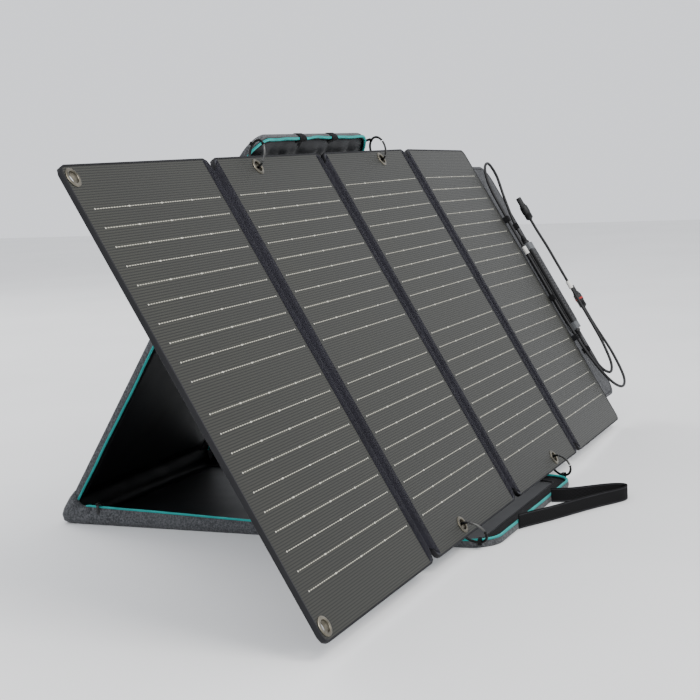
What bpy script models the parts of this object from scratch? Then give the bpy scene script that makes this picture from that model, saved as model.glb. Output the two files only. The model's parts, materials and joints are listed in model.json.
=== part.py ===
"""Folding solar panel kit on its own opened carry case: four panel leaves, clips, case and leads."""

import math

import bmesh
import bpy
from mathutils import Matrix, Vector

MM = 0.001
GAP = 0.3 * MM  # clearance kept between pieces that touch

# Panel
LEAF_WIDTH = 383 * MM
LEAF_HEIGHT = 680 * MM
LEAF_CORNER = 12 * MM
HINGE_GAP = 15 * MM
LAMINATE = 2.2 * MM
CELLS = 0.8 * MM
BOARD = 3.0 * MM
CELL_MARGIN = 24 * MM
LEAF_THICKNESS = LAMINATE + CELLS + BOARD + 2 * GAP
PANEL_TILT = math.radians(60.5)
PANEL_LIFT = 26 * MM  # height of the panel's lower front edge
BEND_2_3 = math.radians(0)
BEND_3_4 = math.radians(-2.5)
EYELET_EDGE = 18.4 * MM  # eyelet centre to the leaf's upper or lower edge
EYELET_SIDE = 134 * MM  # eyelet centre to the leaf's outer edge, leaves 2 and 3
EYELET_CORNER = 18.4 * MM  # the same on leaf 1
EYELET_HOLE = 8.6 * MM
EYELET_FLANGE = 14 * MM

# Carabiners
RING_LONG = 23 * MM
RING_SHORT = 14.5 * MM
RING_LEAN = math.radians(25)
RING_WIRE = 2 * MM
RING_SEAT = 1 * MM  # how far the wire sits past the eyelet centre
GATE_HALF_ANGLE = math.radians(42)
GATE_CLEAR = math.radians(6)  # between each end of a gate and the hook
RING_TURN = math.radians(20)  # each carabiner turns inwards, towards its corner of the case
LOOP_ANGLE = math.radians(41.6)  # where the corner loop meets the ring
LOOP_WIDTH = 5 * MM
LOOP_HALF = 4.7 * MM
LOOP_REACH_UPPER = 15.5 * MM
LOOP_REACH_LOWER = 9.5 * MM

# Case
CASE_WIDTH = 476 * MM
CASE_CORNER = 48 * MM
CASE_WALL = 3 * MM
CASE_RIM = 11 * MM
WALL_PEAK = 31 * MM  # the floor flap's side wall just in front of the spine
WALL_PEAK_Y = 38 * MM  # distance of that peak from the spine
SHELL = 3.5 * MM
LINING = 1.6 * MM
ZIP_HEIGHT = 3 * MM
ZIP_START = 44 * MM  # the zips begin this far from the spine
FRONT_RIM_Y = -33 * MM
SPINE_Y = 740 * MM
SPINE_Z = 14.4 * MM
SPINE_RADIUS = 14 * MM
FLAP_OFFSET = 12 * MM  # spine axis to the rear flap's outer face
FLAP_START = 17 * MM
FLAP_LENGTH = 749 * MM
FLAP_ANGLE = math.radians(57.4)
CASE_CENTRE_X = LEAF_WIDTH + HINGE_GAP / 2  # from the left edge of leaf 2

# Webbing handles
SLIDER = (9 * MM, 14 * MM, 4 * MM)
SLIDER_Y = 60 * MM  # from the spine
PULL = (2 * MM, 7 * MM, 26 * MM)

WEBBING_WIDTH = 25 * MM
WEBBING = 2.2 * MM

# Cable flap and leads on leaf 4
CABLE_FLAP_WIDTH = 108 * MM
CABLE_FLAP_LOW = 52 * MM
CABLE_FLAP_HIGH = 640 * MM
CABLE_FLAP = 1.6 * MM
LEAD_RADIUS = 3 * MM
LEAD_HEIGHT = 10 * MM  # over the cable flap, at the glands
CABLE_FLAP_CORNER = 40 * MM
BOX_CENTRE = (44 * MM, 325 * MM)
BOX_SIZE = (34 * MM, 220 * MM)
BOX_BASE = 12 * MM
BOX_LID = 7 * MM
TAG_A = (10 * MM, 420 * MM, 10 * MM)
TAG_B = (97 * MM, 310 * MM, 35 * MM)

WORLD_SHIFT = Vector((-CASE_CENTRE_X, -(FRONT_RIM_Y + SPINE_Y) / 2, 0))

FABRIC_GREY = ((0.16, 0.16, 0.17, 1), 0.9, 0.0)
FABRIC_BLACK = ((0.02, 0.02, 0.022, 1), 0.9, 0.0)
ZIP_TEAL = ((0.02, 0.36, 0.33, 1), 0.7, 0.0)
PANEL_FACE = ((0.06, 0.065, 0.06, 1), 0.5, 0.0)
CELL_BLUE = ((0.02, 0.025, 0.05, 1), 0.3, 0.0)
HINGE_CLOTH = ((0.045, 0.045, 0.06, 1), 0.8, 0.0)
STEEL = ((0.6, 0.6, 0.6, 1), 0.3, 1.0)
GUNMETAL = ((0.1, 0.1, 0.11, 1), 0.35, 1.0)
CABLE_BLACK = ((0.015, 0.015, 0.015, 1), 0.5, 0.0)
TAG_WHITE = ((0.8, 0.8, 0.78, 1), 0.6, 0.0)


def clear_scene():
    for thing in list(bpy.data.objects):
        bpy.data.objects.remove(thing, do_unlink=True)


def new_collection(name):
    found = bpy.data.collections.new(name)
    bpy.context.scene.collection.children.link(found)
    return found


def put(obj, collection):
    for owner in list(obj.users_collection):
        owner.objects.unlink(obj)
    collection.objects.link(obj)


def finish_material(obj, finish):
    colour, roughness, metallic = finish
    material = bpy.data.materials.new(obj.name)
    material.use_nodes = True
    shader = material.node_tree.nodes["Principled BSDF"]
    shader.inputs["Base Color"].default_value = colour
    shader.inputs["Roughness"].default_value = roughness
    shader.inputs["Metallic"].default_value = metallic
    obj.data.materials.append(material)


def object_from(name, mesh, place, finish):
    obj = bpy.data.objects.new(name, mesh)
    parts.objects.link(obj)
    obj.matrix_world = place
    finish_material(obj, finish)
    return obj


def rounded_outline(x0, x1, y0, y1, radii, steps=6):
    """Corner points anticlockwise from the lower left, each corner an arc of its own radius (0 is square)."""
    corners = (
        (x0, y0, 1, 1, 180),
        (x1, y0, -1, 1, 270),
        (x1, y1, -1, -1, 0),
        (x0, y1, 1, -1, 90),
    )
    points = []
    for (x, y, sx, sy, start), radius in zip(corners, radii):
        if radius == 0:
            points.append((x, y))
            continue
        cx, cy = x + sx * radius, y + sy * radius
        for step in range(steps + 1):
            angle = math.radians(start + 90 * step / steps)
            points.append((cx + radius * math.cos(angle), cy + radius * math.sin(angle)))
    return points


def slab(name, outline, z0, z1, place, finish, holes=()):
    """A flat plate: a 2D curve, with round holes, extruded from z0 to z1."""
    curve = bpy.data.curves.new(name, "CURVE")
    curve.dimensions = "2D"
    curve.fill_mode = "BOTH"
    curve.extrude = (z1 - z0) / 2
    loops = [outline]
    for cx, cy, radius in holes:
        turns = [2 * math.pi * step / 20 for step in range(20)]
        loops.append([(cx + radius * math.cos(a), cy + radius * math.sin(a)) for a in turns])
    for loop in loops:
        spline = curve.splines.new("POLY")
        spline.points.add(len(loop) - 1)
        for point, (x, y) in zip(spline.points, loop):
            point.co = (x, y, 0, 1)
        spline.use_cyclic_u = True
    source = bpy.data.objects.new(name + "_outline", curve)
    parts.objects.link(source)
    mesh = solid_mesh(source, name)
    mesh.transform(Matrix.Translation((0, 0, (z0 + z1) / 2)))
    return object_from(name, mesh, place, finish)


def solid_mesh(source, name):
    """The welded mesh of a curve object, which it removes."""
    graph = bpy.context.evaluated_depsgraph_get()
    graph.update()
    mesh = bpy.data.meshes.new_from_object(source.evaluated_get(graph))
    mesh.name = name
    bm = bmesh.new()
    bm.from_mesh(mesh)
    bmesh.ops.remove_doubles(bm, verts=bm.verts, dist=1e-6)
    bmesh.ops.recalc_face_normals(bm, faces=bm.faces)
    bm.to_mesh(mesh)
    bm.free()
    bpy.data.objects.remove(source, do_unlink=True)
    return mesh


def tube(name, points, radius, place, finish, sides=2, cyclic=False):
    """A round wire or cable along the points."""
    curve = bpy.data.curves.new(name, "CURVE")
    curve.dimensions = "3D"
    curve.bevel_depth = radius
    curve.bevel_resolution = sides
    curve.use_fill_caps = not cyclic
    spline = curve.splines.new("POLY")
    spline.points.add(len(points) - 1)
    for target, point in zip(spline.points, points):
        target.co = (*point, 1)
    spline.use_cyclic_u = cyclic
    source = bpy.data.objects.new(name + "_path", curve)
    parts.objects.link(source)
    mesh = solid_mesh(source, name)
    mesh.shade_smooth()
    return object_from(name, mesh, place, finish)


def turned(name, profile, place, finish, steps=24):
    """A closed profile of (radius, height) points turned about local Z."""
    bm = bmesh.new()
    points = [bm.verts.new((radius, 0, height)) for radius, height in profile]
    for first, second in zip(points, points[1:] + points[:1]):
        bm.edges.new((first, second))
    bmesh.ops.spin(
        bm,
        geom=bm.verts[:] + bm.edges[:],
        angle=2 * math.pi,
        steps=steps,
        axis=(0, 0, 1),
        cent=(0, 0, 0),
        use_merge=True,
    )
    bmesh.ops.remove_doubles(bm, verts=bm.verts, dist=1e-6)
    bmesh.ops.recalc_face_normals(bm, faces=bm.faces)
    mesh = bpy.data.meshes.new(name)
    bm.to_mesh(mesh)
    bm.free()
    return object_from(name, mesh, place, finish)


def block(name, size, centre, place, finish, bevel=0.0):
    """A rectangular block with bevelled edges."""
    bm = bmesh.new()
    bmesh.ops.create_cube(bm, size=1)
    bmesh.ops.scale(bm, vec=size, verts=bm.verts)
    bmesh.ops.translate(bm, vec=centre, verts=bm.verts)
    mesh = bpy.data.meshes.new(name)
    bm.to_mesh(mesh)
    bm.free()
    obj = object_from(name, mesh, place, finish)
    if bevel:
        modifier = obj.modifiers.new("Edges", "BEVEL")
        modifier.width = bevel
        modifier.segments = 2
    return obj


def band(name, path, thickness, low, high, place, finish, cyclic=False):
    """A strip of webbing or tape: a path in the local XY plane, given a thickness and a height."""
    count = len(path)
    sides = []
    for index, (x, y) in enumerate(path):
        before = path[index - 1] if index or cyclic else path[index]
        after = path[(index + 1) % count] if index < count - 1 or cyclic else path[index]
        along = Vector((after[0] - before[0], after[1] - before[1])).normalized()
        across = Vector((-along.y, along.x)) * thickness / 2
        sides.append(((x + across.x, y + across.y), (x - across.x, y - across.y)))
    bm = bmesh.new()
    rows = []
    for left, right in sides:
        corners = ((left, low), (right, low), (right, high), (left, high))
        rows.append([bm.verts.new((*p, z)) for p, z in corners])
    pairs = list(zip(rows, rows[1:])) + ([(rows[-1], rows[0])] if cyclic else [])
    for first, second in pairs:
        for k in range(4):
            bm.faces.new((first[k], first[(k + 1) % 4], second[(k + 1) % 4], second[k]))
    if not cyclic:
        bm.faces.new(rows[0])
        bm.faces.new(rows[-1])
    bmesh.ops.recalc_face_normals(bm, faces=bm.faces)
    mesh = bpy.data.meshes.new(name)
    bm.to_mesh(mesh)
    bm.free()
    return object_from(name, mesh, place, finish)


def frame_matrix(origin, x_axis, y_axis):
    """World placement of a frame with these X and Y axes."""
    x = Vector(x_axis).normalized()
    y = Vector(y_axis).normalized()
    z = x.cross(y)
    rotation = Matrix((x, y, z)).transposed().to_4x4()
    return Matrix.Translation(Vector(origin) + WORLD_SHIFT) @ rotation


SLOPE = Vector((0, math.cos(PANEL_TILT), math.sin(PANEL_TILT)))
FACING = Vector((0, -math.sin(PANEL_TILT), math.cos(PANEL_TILT)))


def leaf_frame(number):
    """Frame of a leaf: X across it, Y up its slope, Z out of its face, origin at its lower left corner."""
    middle = LEAF_THICKNESS / 2
    pitch = LEAF_WIDTH + HINGE_GAP
    start = Vector((0, 0, PANEL_LIFT))
    if number == 1:
        return frame_matrix(start + Vector((-pitch, 0, 0)), (1, 0, 0), SLOPE)
    if number == 2:
        return frame_matrix(start, (1, 0, 0), SLOPE)
    bend = BEND_2_3
    along = Vector((1, 0, 0)) * math.cos(bend) + FACING * math.sin(bend)
    facing = FACING * math.cos(bend) - Vector((1, 0, 0)) * math.sin(bend)
    axis = start + Vector((LEAF_WIDTH + HINGE_GAP / 2, 0, 0)) - FACING * middle
    origin = axis + along * HINGE_GAP / 2 + facing * middle
    if number == 3:
        return frame_matrix(origin, along, SLOPE)
    axis = origin + along * (LEAF_WIDTH + HINGE_GAP / 2) - facing * middle
    total = BEND_2_3 + BEND_3_4
    along = Vector((1, 0, 0)) * math.cos(total) + FACING * math.sin(total)
    facing = FACING * math.cos(total) - Vector((1, 0, 0)) * math.sin(total)
    return frame_matrix(axis + along * HINGE_GAP / 2 + facing * middle, along, SLOPE)


def eyelet_places(number):
    """Eyelet centres in the leaf's own frame."""
    side = {1: EYELET_CORNER, 2: EYELET_SIDE, 3: LEAF_WIDTH - EYELET_SIDE}.get(number)
    if side is None:
        return []
    return [(side, LEAF_HEIGHT - EYELET_EDGE), (side, EYELET_EDGE)]


def make_leaf(number):
    place = leaf_frame(number)
    radii = [LEAF_CORNER] * 4
    outline = rounded_outline(0, LEAF_WIDTH, 0, LEAF_HEIGHT, radii, 4)
    holes = [(x, y, EYELET_HOLE + 1.3 * MM) for x, y in eyelet_places(number)]
    name = f"leaf_{number}"
    slab(name + "_laminate", outline, -LAMINATE, 0, place, PANEL_FACE, holes)
    margin = CELL_MARGIN
    inner = rounded_outline(margin, LEAF_WIDTH - margin, 2 * margin, LEAF_HEIGHT - 2 * margin, [0] * 4)
    top = -LAMINATE - GAP
    slab(name + "_cell_sheet", inner, top - CELLS, top, place, CELL_BLUE)
    top = top - CELLS - GAP
    slab(name + "_backing_board", outline, top - BOARD, top, place, FABRIC_GREY, holes)


def make_eyelets():
    number = 0
    for leaf in (1, 2, 3):
        for x, y in eyelet_places(leaf):
            number += 1
            back = -LEAF_THICKNESS
            tube_outer = EYELET_HOLE + 1 * MM
            profile = [
                (EYELET_HOLE, 1.2 * MM),
                (EYELET_HOLE, back - 1.2 * MM),
                (EYELET_FLANGE, back - 1.2 * MM),
                (EYELET_FLANGE, back - GAP),
                (tube_outer, back - GAP),
                (tube_outer, GAP),
                (EYELET_FLANGE, GAP),
                (EYELET_FLANGE, 1.2 * MM),
            ]
            place = leaf_frame(leaf) @ Matrix.Translation((x, y, 0))
            turned(f"eyelet_{number}", profile, place, STEEL)


def make_hinges():
    for number in (1, 2, 3):
        place = leaf_frame(number)
        x0 = LEAF_WIDTH + GAP
        outline = rounded_outline(x0, x0 + HINGE_GAP - 3 * GAP, 14 * MM, LEAF_HEIGHT - 14 * MM, [0] * 4)
        slab(f"hinge_strip_{number}", outline, -4.4 * MM, -3.2 * MM, place, HINGE_CLOTH)


def ring_frame(leaf, upper):
    """Frame of a carabiner: X along its long axis away from the eyelet, Y towards its gate side."""
    x, y = eyelet_places(leaf)[0 if upper else 1]
    sign = 1 if upper else -1
    place = leaf_frame(leaf) @ Matrix.Translation((x, y, -LEAF_THICKNESS / 2))
    # columns: long axis, gate direction and the ring's normal, in the leaf's frame
    cosine, sine = math.cos(RING_LEAN), math.sin(RING_LEAN)
    long_axis = Vector((0, sign * cosine, sine))
    gate_side = Vector((0, -sign * sine, cosine))
    normal = long_axis.cross(gate_side)
    rotation = Matrix((long_axis, gate_side, normal)).transposed().to_4x4()
    inwards = (1 if leaf == 3 else -1) * sign * RING_TURN
    middle = Matrix.Translation((RING_LONG - RING_SEAT, 0, 0))
    return place @ Matrix.Rotation(inwards, 4, "Z") @ rotation @ middle


def ring_point(angle):
    return (RING_LONG * math.cos(angle), RING_SHORT * math.sin(angle), 0)


def arc_points(start, end, steps):
    return [ring_point(start + (end - start) * step / steps) for step in range(steps + 1)]


def make_carabiners():
    number = 0
    middle = math.pi / 2
    for leaf in (2, 3):
        for upper in (True, False):
            number += 1
            place = ring_frame(leaf, upper)
            hook = arc_points(middle + GATE_HALF_ANGLE, middle - GATE_HALF_ANGLE + 2 * math.pi, 26)
            tube(f"carabiner_{number}_hook", hook, RING_WIRE, place, GUNMETAL, sides=2)
            gate = arc_points(middle - GATE_HALF_ANGLE + GATE_CLEAR, middle + GATE_HALF_ANGLE - GATE_CLEAR, 8)
            tube(f"carabiner_{number}_gate", gate, RING_WIRE * 0.85, place, GUNMETAL, sides=2)
            make_corner_loop(number, place, upper)


def make_corner_loop(number, ring_place, upper):
    """The webbing tab at a corner of the case: closed below, and open to the panel above."""
    x, y, _ = ring_point(-LOOP_ANGLE)
    spot = ring_place @ Vector((x, y, 0))
    along = Vector((-RING_LONG * math.sin(-LOOP_ANGLE), RING_SHORT * math.cos(LOOP_ANGLE), 0))
    along = (ring_place.to_3x3() @ along).normalized()
    inwards = Vector((-1 if spot.x > 0 else 1, 0, 0))
    inwards = (inwards - along * inwards.dot(along)).normalized()
    behind = along.cross(inwards)
    if behind.y < 0:
        behind, along = -behind, -along
    rotation = Matrix((inwards, behind, inwards.cross(behind))).transposed().to_4x4()
    place = Matrix.Translation(spot) @ rotation
    half, reach = LOOP_HALF, LOOP_REACH_UPPER if upper else LOOP_REACH_LOWER
    name = f"corner_loop_{number}"
    if upper:
        path = [(reach, half), (0, half)]
        path += [(half * math.cos(a), half * math.sin(a)) for a in turns(110, 190, 5)]
        band(name, path, LINING, -LOOP_WIDTH / 2, LOOP_WIDTH / 2, place, FABRIC_BLACK)
        return
    path = [(half * math.cos(a), half * math.sin(a)) for a in turns(90, 270, 8)]
    path += [(reach, -half), (reach, half)]
    band(name, path, LINING, -LOOP_WIDTH / 2, LOOP_WIDTH / 2, place, FABRIC_BLACK, cyclic=True)


def turns(start, end, steps):
    return [math.radians(start + (end - start) * step / steps) for step in range(steps + 1)]


def wall_rise(y, length):
    """How far the floor flap's side wall stands above the rim, at this distance from the spine."""
    end = length - CASE_CORNER
    if y <= WALL_PEAK_Y:
        return (WALL_PEAK - CASE_RIM) * max(0, (y - FLAP_START) / (WALL_PEAK_Y - FLAP_START))
    return (WALL_PEAK - CASE_RIM) * max(0, (end - y) / (end - WALL_PEAK_Y))


def raise_rim(obj, length, above):
    """Lift the vertices higher than this, to follow the side wall."""
    for vertex in obj.data.vertices:
        if vertex.co.z > above:
            vertex.co.z += wall_rise(vertex.co.y, length)


def tray(name, length, place, finish, start, raised):
    """A shallow case half: a plate with a wall on three sides, open at the spine. Y runs from it."""
    half = CASE_WIDTH / 2
    radii = [0, 0, CASE_CORNER, CASE_CORNER]
    outer = rounded_outline(-half, half, start, length, radii, 8)
    outer = [(-half, WALL_PEAK_Y), outer[0], outer[1], (half, WALL_PEAK_Y)] + outer[2:]
    inner_radius = CASE_CORNER - CASE_WALL
    inner_half = half - CASE_WALL
    inner_radii = [0, 0, inner_radius, inner_radius]
    inner = rounded_outline(-inner_half, inner_half, start - 20 * MM, length - CASE_WALL, inner_radii, 8)
    body = slab(name, outer, 0, CASE_RIM, place, finish)
    if raised:
        raise_rim(body, length, SHELL)
    cutter = slab(name + "_cutter", inner, SHELL, WALL_PEAK + 10 * MM, place, finish)
    put(cutter, cutters)
    cutter.hide_render = True
    cutter.display_type = "WIRE"
    cut = body.modifiers.new("Hollow", "BOOLEAN")
    cut.object = cutter
    return body


def tray_lining(name, length, place, start):
    half = CASE_WIDTH / 2 - CASE_WALL - GAP
    radius = CASE_CORNER - CASE_WALL - GAP
    outline = rounded_outline(-half, half, start, length - CASE_WALL - GAP, [0, 0, radius, radius], 8)
    return slab(name, outline, SHELL + GAP, SHELL + GAP + LINING, place, FABRIC_BLACK)


def tray_zip(name, length, place, start, raised):
    """The zip tape on the wall's rim, along three sides."""
    half = CASE_WIDTH / 2 - CASE_WALL / 2
    outline = rounded_outline(-half, half, start, length - CASE_WALL / 2, [0, 0, CASE_CORNER, CASE_CORNER], 8)
    # from the spine end up the right side, over the front and back down the left side
    path = outline[1:] + outline[:1]
    low = CASE_RIM + GAP
    tape = band(name, path, CASE_WALL, low, low + ZIP_HEIGHT, place, ZIP_TEAL)
    if raised:
        raise_rim(tape, length, 0)
    return tape


def case_frames():
    floor = frame_matrix((CASE_CENTRE_X, SPINE_Y, 0), (-1, 0, 0), (0, -1, 0))
    up = Vector((0, -math.cos(FLAP_ANGLE), math.sin(FLAP_ANGLE)))
    outward = Vector((0, math.sin(FLAP_ANGLE), math.cos(FLAP_ANGLE)))
    origin = Vector((CASE_CENTRE_X, SPINE_Y, SPINE_Z)) + outward * FLAP_OFFSET
    rear = frame_matrix(origin, (1, 0, 0), up)
    return floor, rear


def make_case():
    floor, rear = case_frames()
    floor_length = SPINE_Y - FRONT_RIM_Y
    tray("floor_flap_shell", floor_length, floor, FABRIC_GREY, FLAP_START, True)
    tray_lining("floor_flap_lining", floor_length, floor, FLAP_START)
    tray_zip("floor_zip_tape", floor_length, floor, ZIP_START, True)
    tray("rear_flap_shell", FLAP_LENGTH, rear, FABRIC_GREY, FLAP_START, False)
    tray_lining("rear_flap_lining", FLAP_LENGTH, rear, FLAP_START)
    tray_zip("rear_zip_tape", FLAP_LENGTH, rear, ZIP_START, False)
    half = CASE_WIDTH / 2
    axis = frame_matrix((CASE_CENTRE_X - half, SPINE_Y, SPINE_Z), (0, 1, 0), (0, 0, 1))
    turned_rod("spine_fold", SPINE_RADIUS, CASE_WIDTH, axis)


def turned_rod(name, radius, length, place):
    profile = [(radius * math.cos(a), radius * math.sin(a)) for a in turns(0, 342, 19)]
    slab(name, profile, 0, length, place, FABRIC_GREY)


def make_zip_slider():
    """The slider straddles the floor flap's zip on the left side, with its pull hanging outside."""
    floor, _ = case_frames()
    half = CASE_WIDTH / 2
    # floor frame X points to -X of the world, so the left side is at +half
    along = SLIDER_Y
    floor_length = SPINE_Y - FRONT_RIM_Y
    base = CASE_RIM + wall_rise(along, floor_length) + 3 * GAP + ZIP_HEIGHT
    width, length, height = SLIDER
    block("zip_slider", SLIDER, (half - CASE_WALL / 2, along, base + height / 2), floor, GUNMETAL, 1 * MM)
    beside = half + width / 2
    pull_z = base - PULL[2] / 2 + height
    block("zip_pull", PULL, (beside, along, pull_z), floor, FABRIC_BLACK, 0.6 * MM)


def smooth_path(points, per_span=6):
    """Points along a Catmull-Rom curve through the given ones."""
    padded = [points[0]] + list(points) + [points[-1]]
    result = []
    for index in range(len(points) - 1):
        p0, p1, p2, p3 = (Vector(padded[index + k]) for k in range(4))
        for step in range(per_span):
            t = step / per_span
            a = 2 * p1 + (p2 - p0) * t
            b = (2 * p0 - 5 * p1 + 4 * p2 - p3) * t * t
            c = (3 * p1 - p0 - 3 * p2 + p3) * t * t * t
            result.append((a + b + c) / 2)
    result.append(Vector(points[-1]))
    return result


# Centre lines of the webbing handles, in millimetres
FRONT_HANDLE = [
    (-110, -2), (-66, -26), (-4, -58), (66, -94), (116, -122), (140, -118),
    (140, -100), (114, -62), (86, -24), (80, -2),
]
REAR_HANDLE = [
    (-65, 30), (-65, -40), (-62, -90), (-50, -118), (-22, -132),
    (22, -132), (50, -118), (62, -90), (65, -40), (65, 30),
]


def make_handles():
    front = frame_matrix((CASE_CENTRE_X, FRONT_RIM_Y - GAP, 0.6 * MM), (1, 0, 0), (0, 1, 0))
    path = [(p.x, p.y) for p in smooth_path([(x * MM, y * MM, 0) for x, y in FRONT_HANDLE], 4)]
    band("front_handle", path, WEBBING, 0, WEBBING_WIDTH, front, FABRIC_BLACK)
    _, rear = case_frames()
    place = rear @ Matrix.Translation((0, FLAP_LENGTH - 40 * MM, 0))
    outer = [(p.x, p.y) for p in smooth_path([(x * MM, y * MM, 0) for x, y in REAR_HANDLE], 4)]
    band("rear_handle", outer, WEBBING_WIDTH, -WEBBING - GAP, -GAP, place, FABRIC_BLACK)


# Centre lines of the leads over the cable flap, in millimetres
LEAD_A = [
    (44, 452, 10), (46, 490, 10), (60, 552, 16), (66, 602, 24), (48, 632, 26), (22, 622, 20),
    (12, 580, 12), (10, 500, 10), (10, 380, 10), (10, 250, 10), (12, 150, 14), (28, 84, 22),
    (62, 56, 30), (98, 72, 36), (115, 130, 37), (117, 190, 34), (117, 220, 33), (117, 250, 33),
]
LEAD_B = [
    (44, 198, 10), (46, 150, 10), (54, 112, 14), (71, 96, 22), (87, 114, 30), (96, 160, 34),
    (97, 200, 35), (97, 250, 35), (97, 360, 35), (97, 410, 35), (95, 450, 34), (94, 480, 34),
]


def make_cable_group():
    """A fabric flap beside leaf 4, with the junction box and the two leads held on its front."""
    place = leaf_frame(4) @ Matrix.Translation((LEAF_WIDTH + GAP, 0, -LEAF_THICKNESS / 2))
    radii = [0, CABLE_FLAP_CORNER, CABLE_FLAP_CORNER, 0]
    outline = rounded_outline(0, CABLE_FLAP_WIDTH, CABLE_FLAP_LOW, CABLE_FLAP_HIGH, radii, 5)
    slab("cable_flap", outline, -CABLE_FLAP, 0, place, FABRIC_GREY)
    x, y = BOX_CENTRE
    width, length = BOX_SIZE
    base_z = GAP + BOX_BASE / 2
    lid_z = 2 * GAP + BOX_BASE + BOX_LID / 2
    block("junction_box_base", (width, length, BOX_BASE), (x, y, base_z), place, CABLE_BLACK, 2 * MM)
    block("junction_box_lid", (width, length, BOX_LID), (x, y, lid_z), place, CABLE_BLACK, 2 * MM)
    bore = LEAD_RADIUS + GAP
    gland = [(bore, 0), (bore, 16 * MM), (5 * MM, 16 * MM), (8 * MM, 4 * MM), (8 * MM, 0)]
    end = length / 2 + GAP
    for name, at, turn in (("gland_upper", y + end, -90), ("gland_lower", y - end, 90)):
        turned(name, gland, place @ lead_place((x, at, LEAD_HEIGHT), turn), CABLE_BLACK, steps=16)
    for name, route in (("lead_positive", LEAD_A), ("lead_negative", LEAD_B)):
        points = smooth_path([(px * MM, py * MM, pz * MM) for px, py, pz in route], 4)
        tube(name, points, LEAD_RADIUS, place, CABLE_BLACK, sides=2)
    connector = [
        (0, 0), (0, 56 * MM), (6 * MM, 56 * MM), (6 * MM, 36 * MM),
        (9 * MM, 34 * MM), (9 * MM, 8 * MM), (6 * MM, 0),
    ]
    for name, lead in (("connector_male", LEAD_A), ("connector_female", LEAD_B)):
        spot = lead_place(Vector(lead[-1]) * MM + Vector((0, GAP, 0)), -90)
        turned(name, connector, place @ spot, CABLE_BLACK, steps=16)
    tag = [(bore, -6 * MM), (bore, 6 * MM), (4.4 * MM, 6 * MM), (4.4 * MM, -6 * MM)]
    for name, spot in (("lead_tag_positive", TAG_A), ("lead_tag_negative", TAG_B)):
        turned(name, tag, place @ lead_place(spot, 90), TAG_WHITE, steps=16)


def lead_place(spot, turn):
    """A frame on a lead's centre line, its Z along the flap's length."""
    return Matrix.Translation(spot) @ Matrix.Rotation(math.radians(turn), 4, "X")


def main():
    clear_scene()
    for number in (1, 2, 3, 4):
        make_leaf(number)
    make_eyelets()
    make_hinges()
    make_carabiners()
    make_case()
    make_zip_slider()
    make_handles()
    make_cable_group()


parts = new_collection("folding_solar_panel_kit")
cutters = new_collection("cutters")
main()
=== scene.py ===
"""Looks of the folding solar panel kit: the panel on its opened case, with its clips, zips and leads."""

import json
import math

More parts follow.
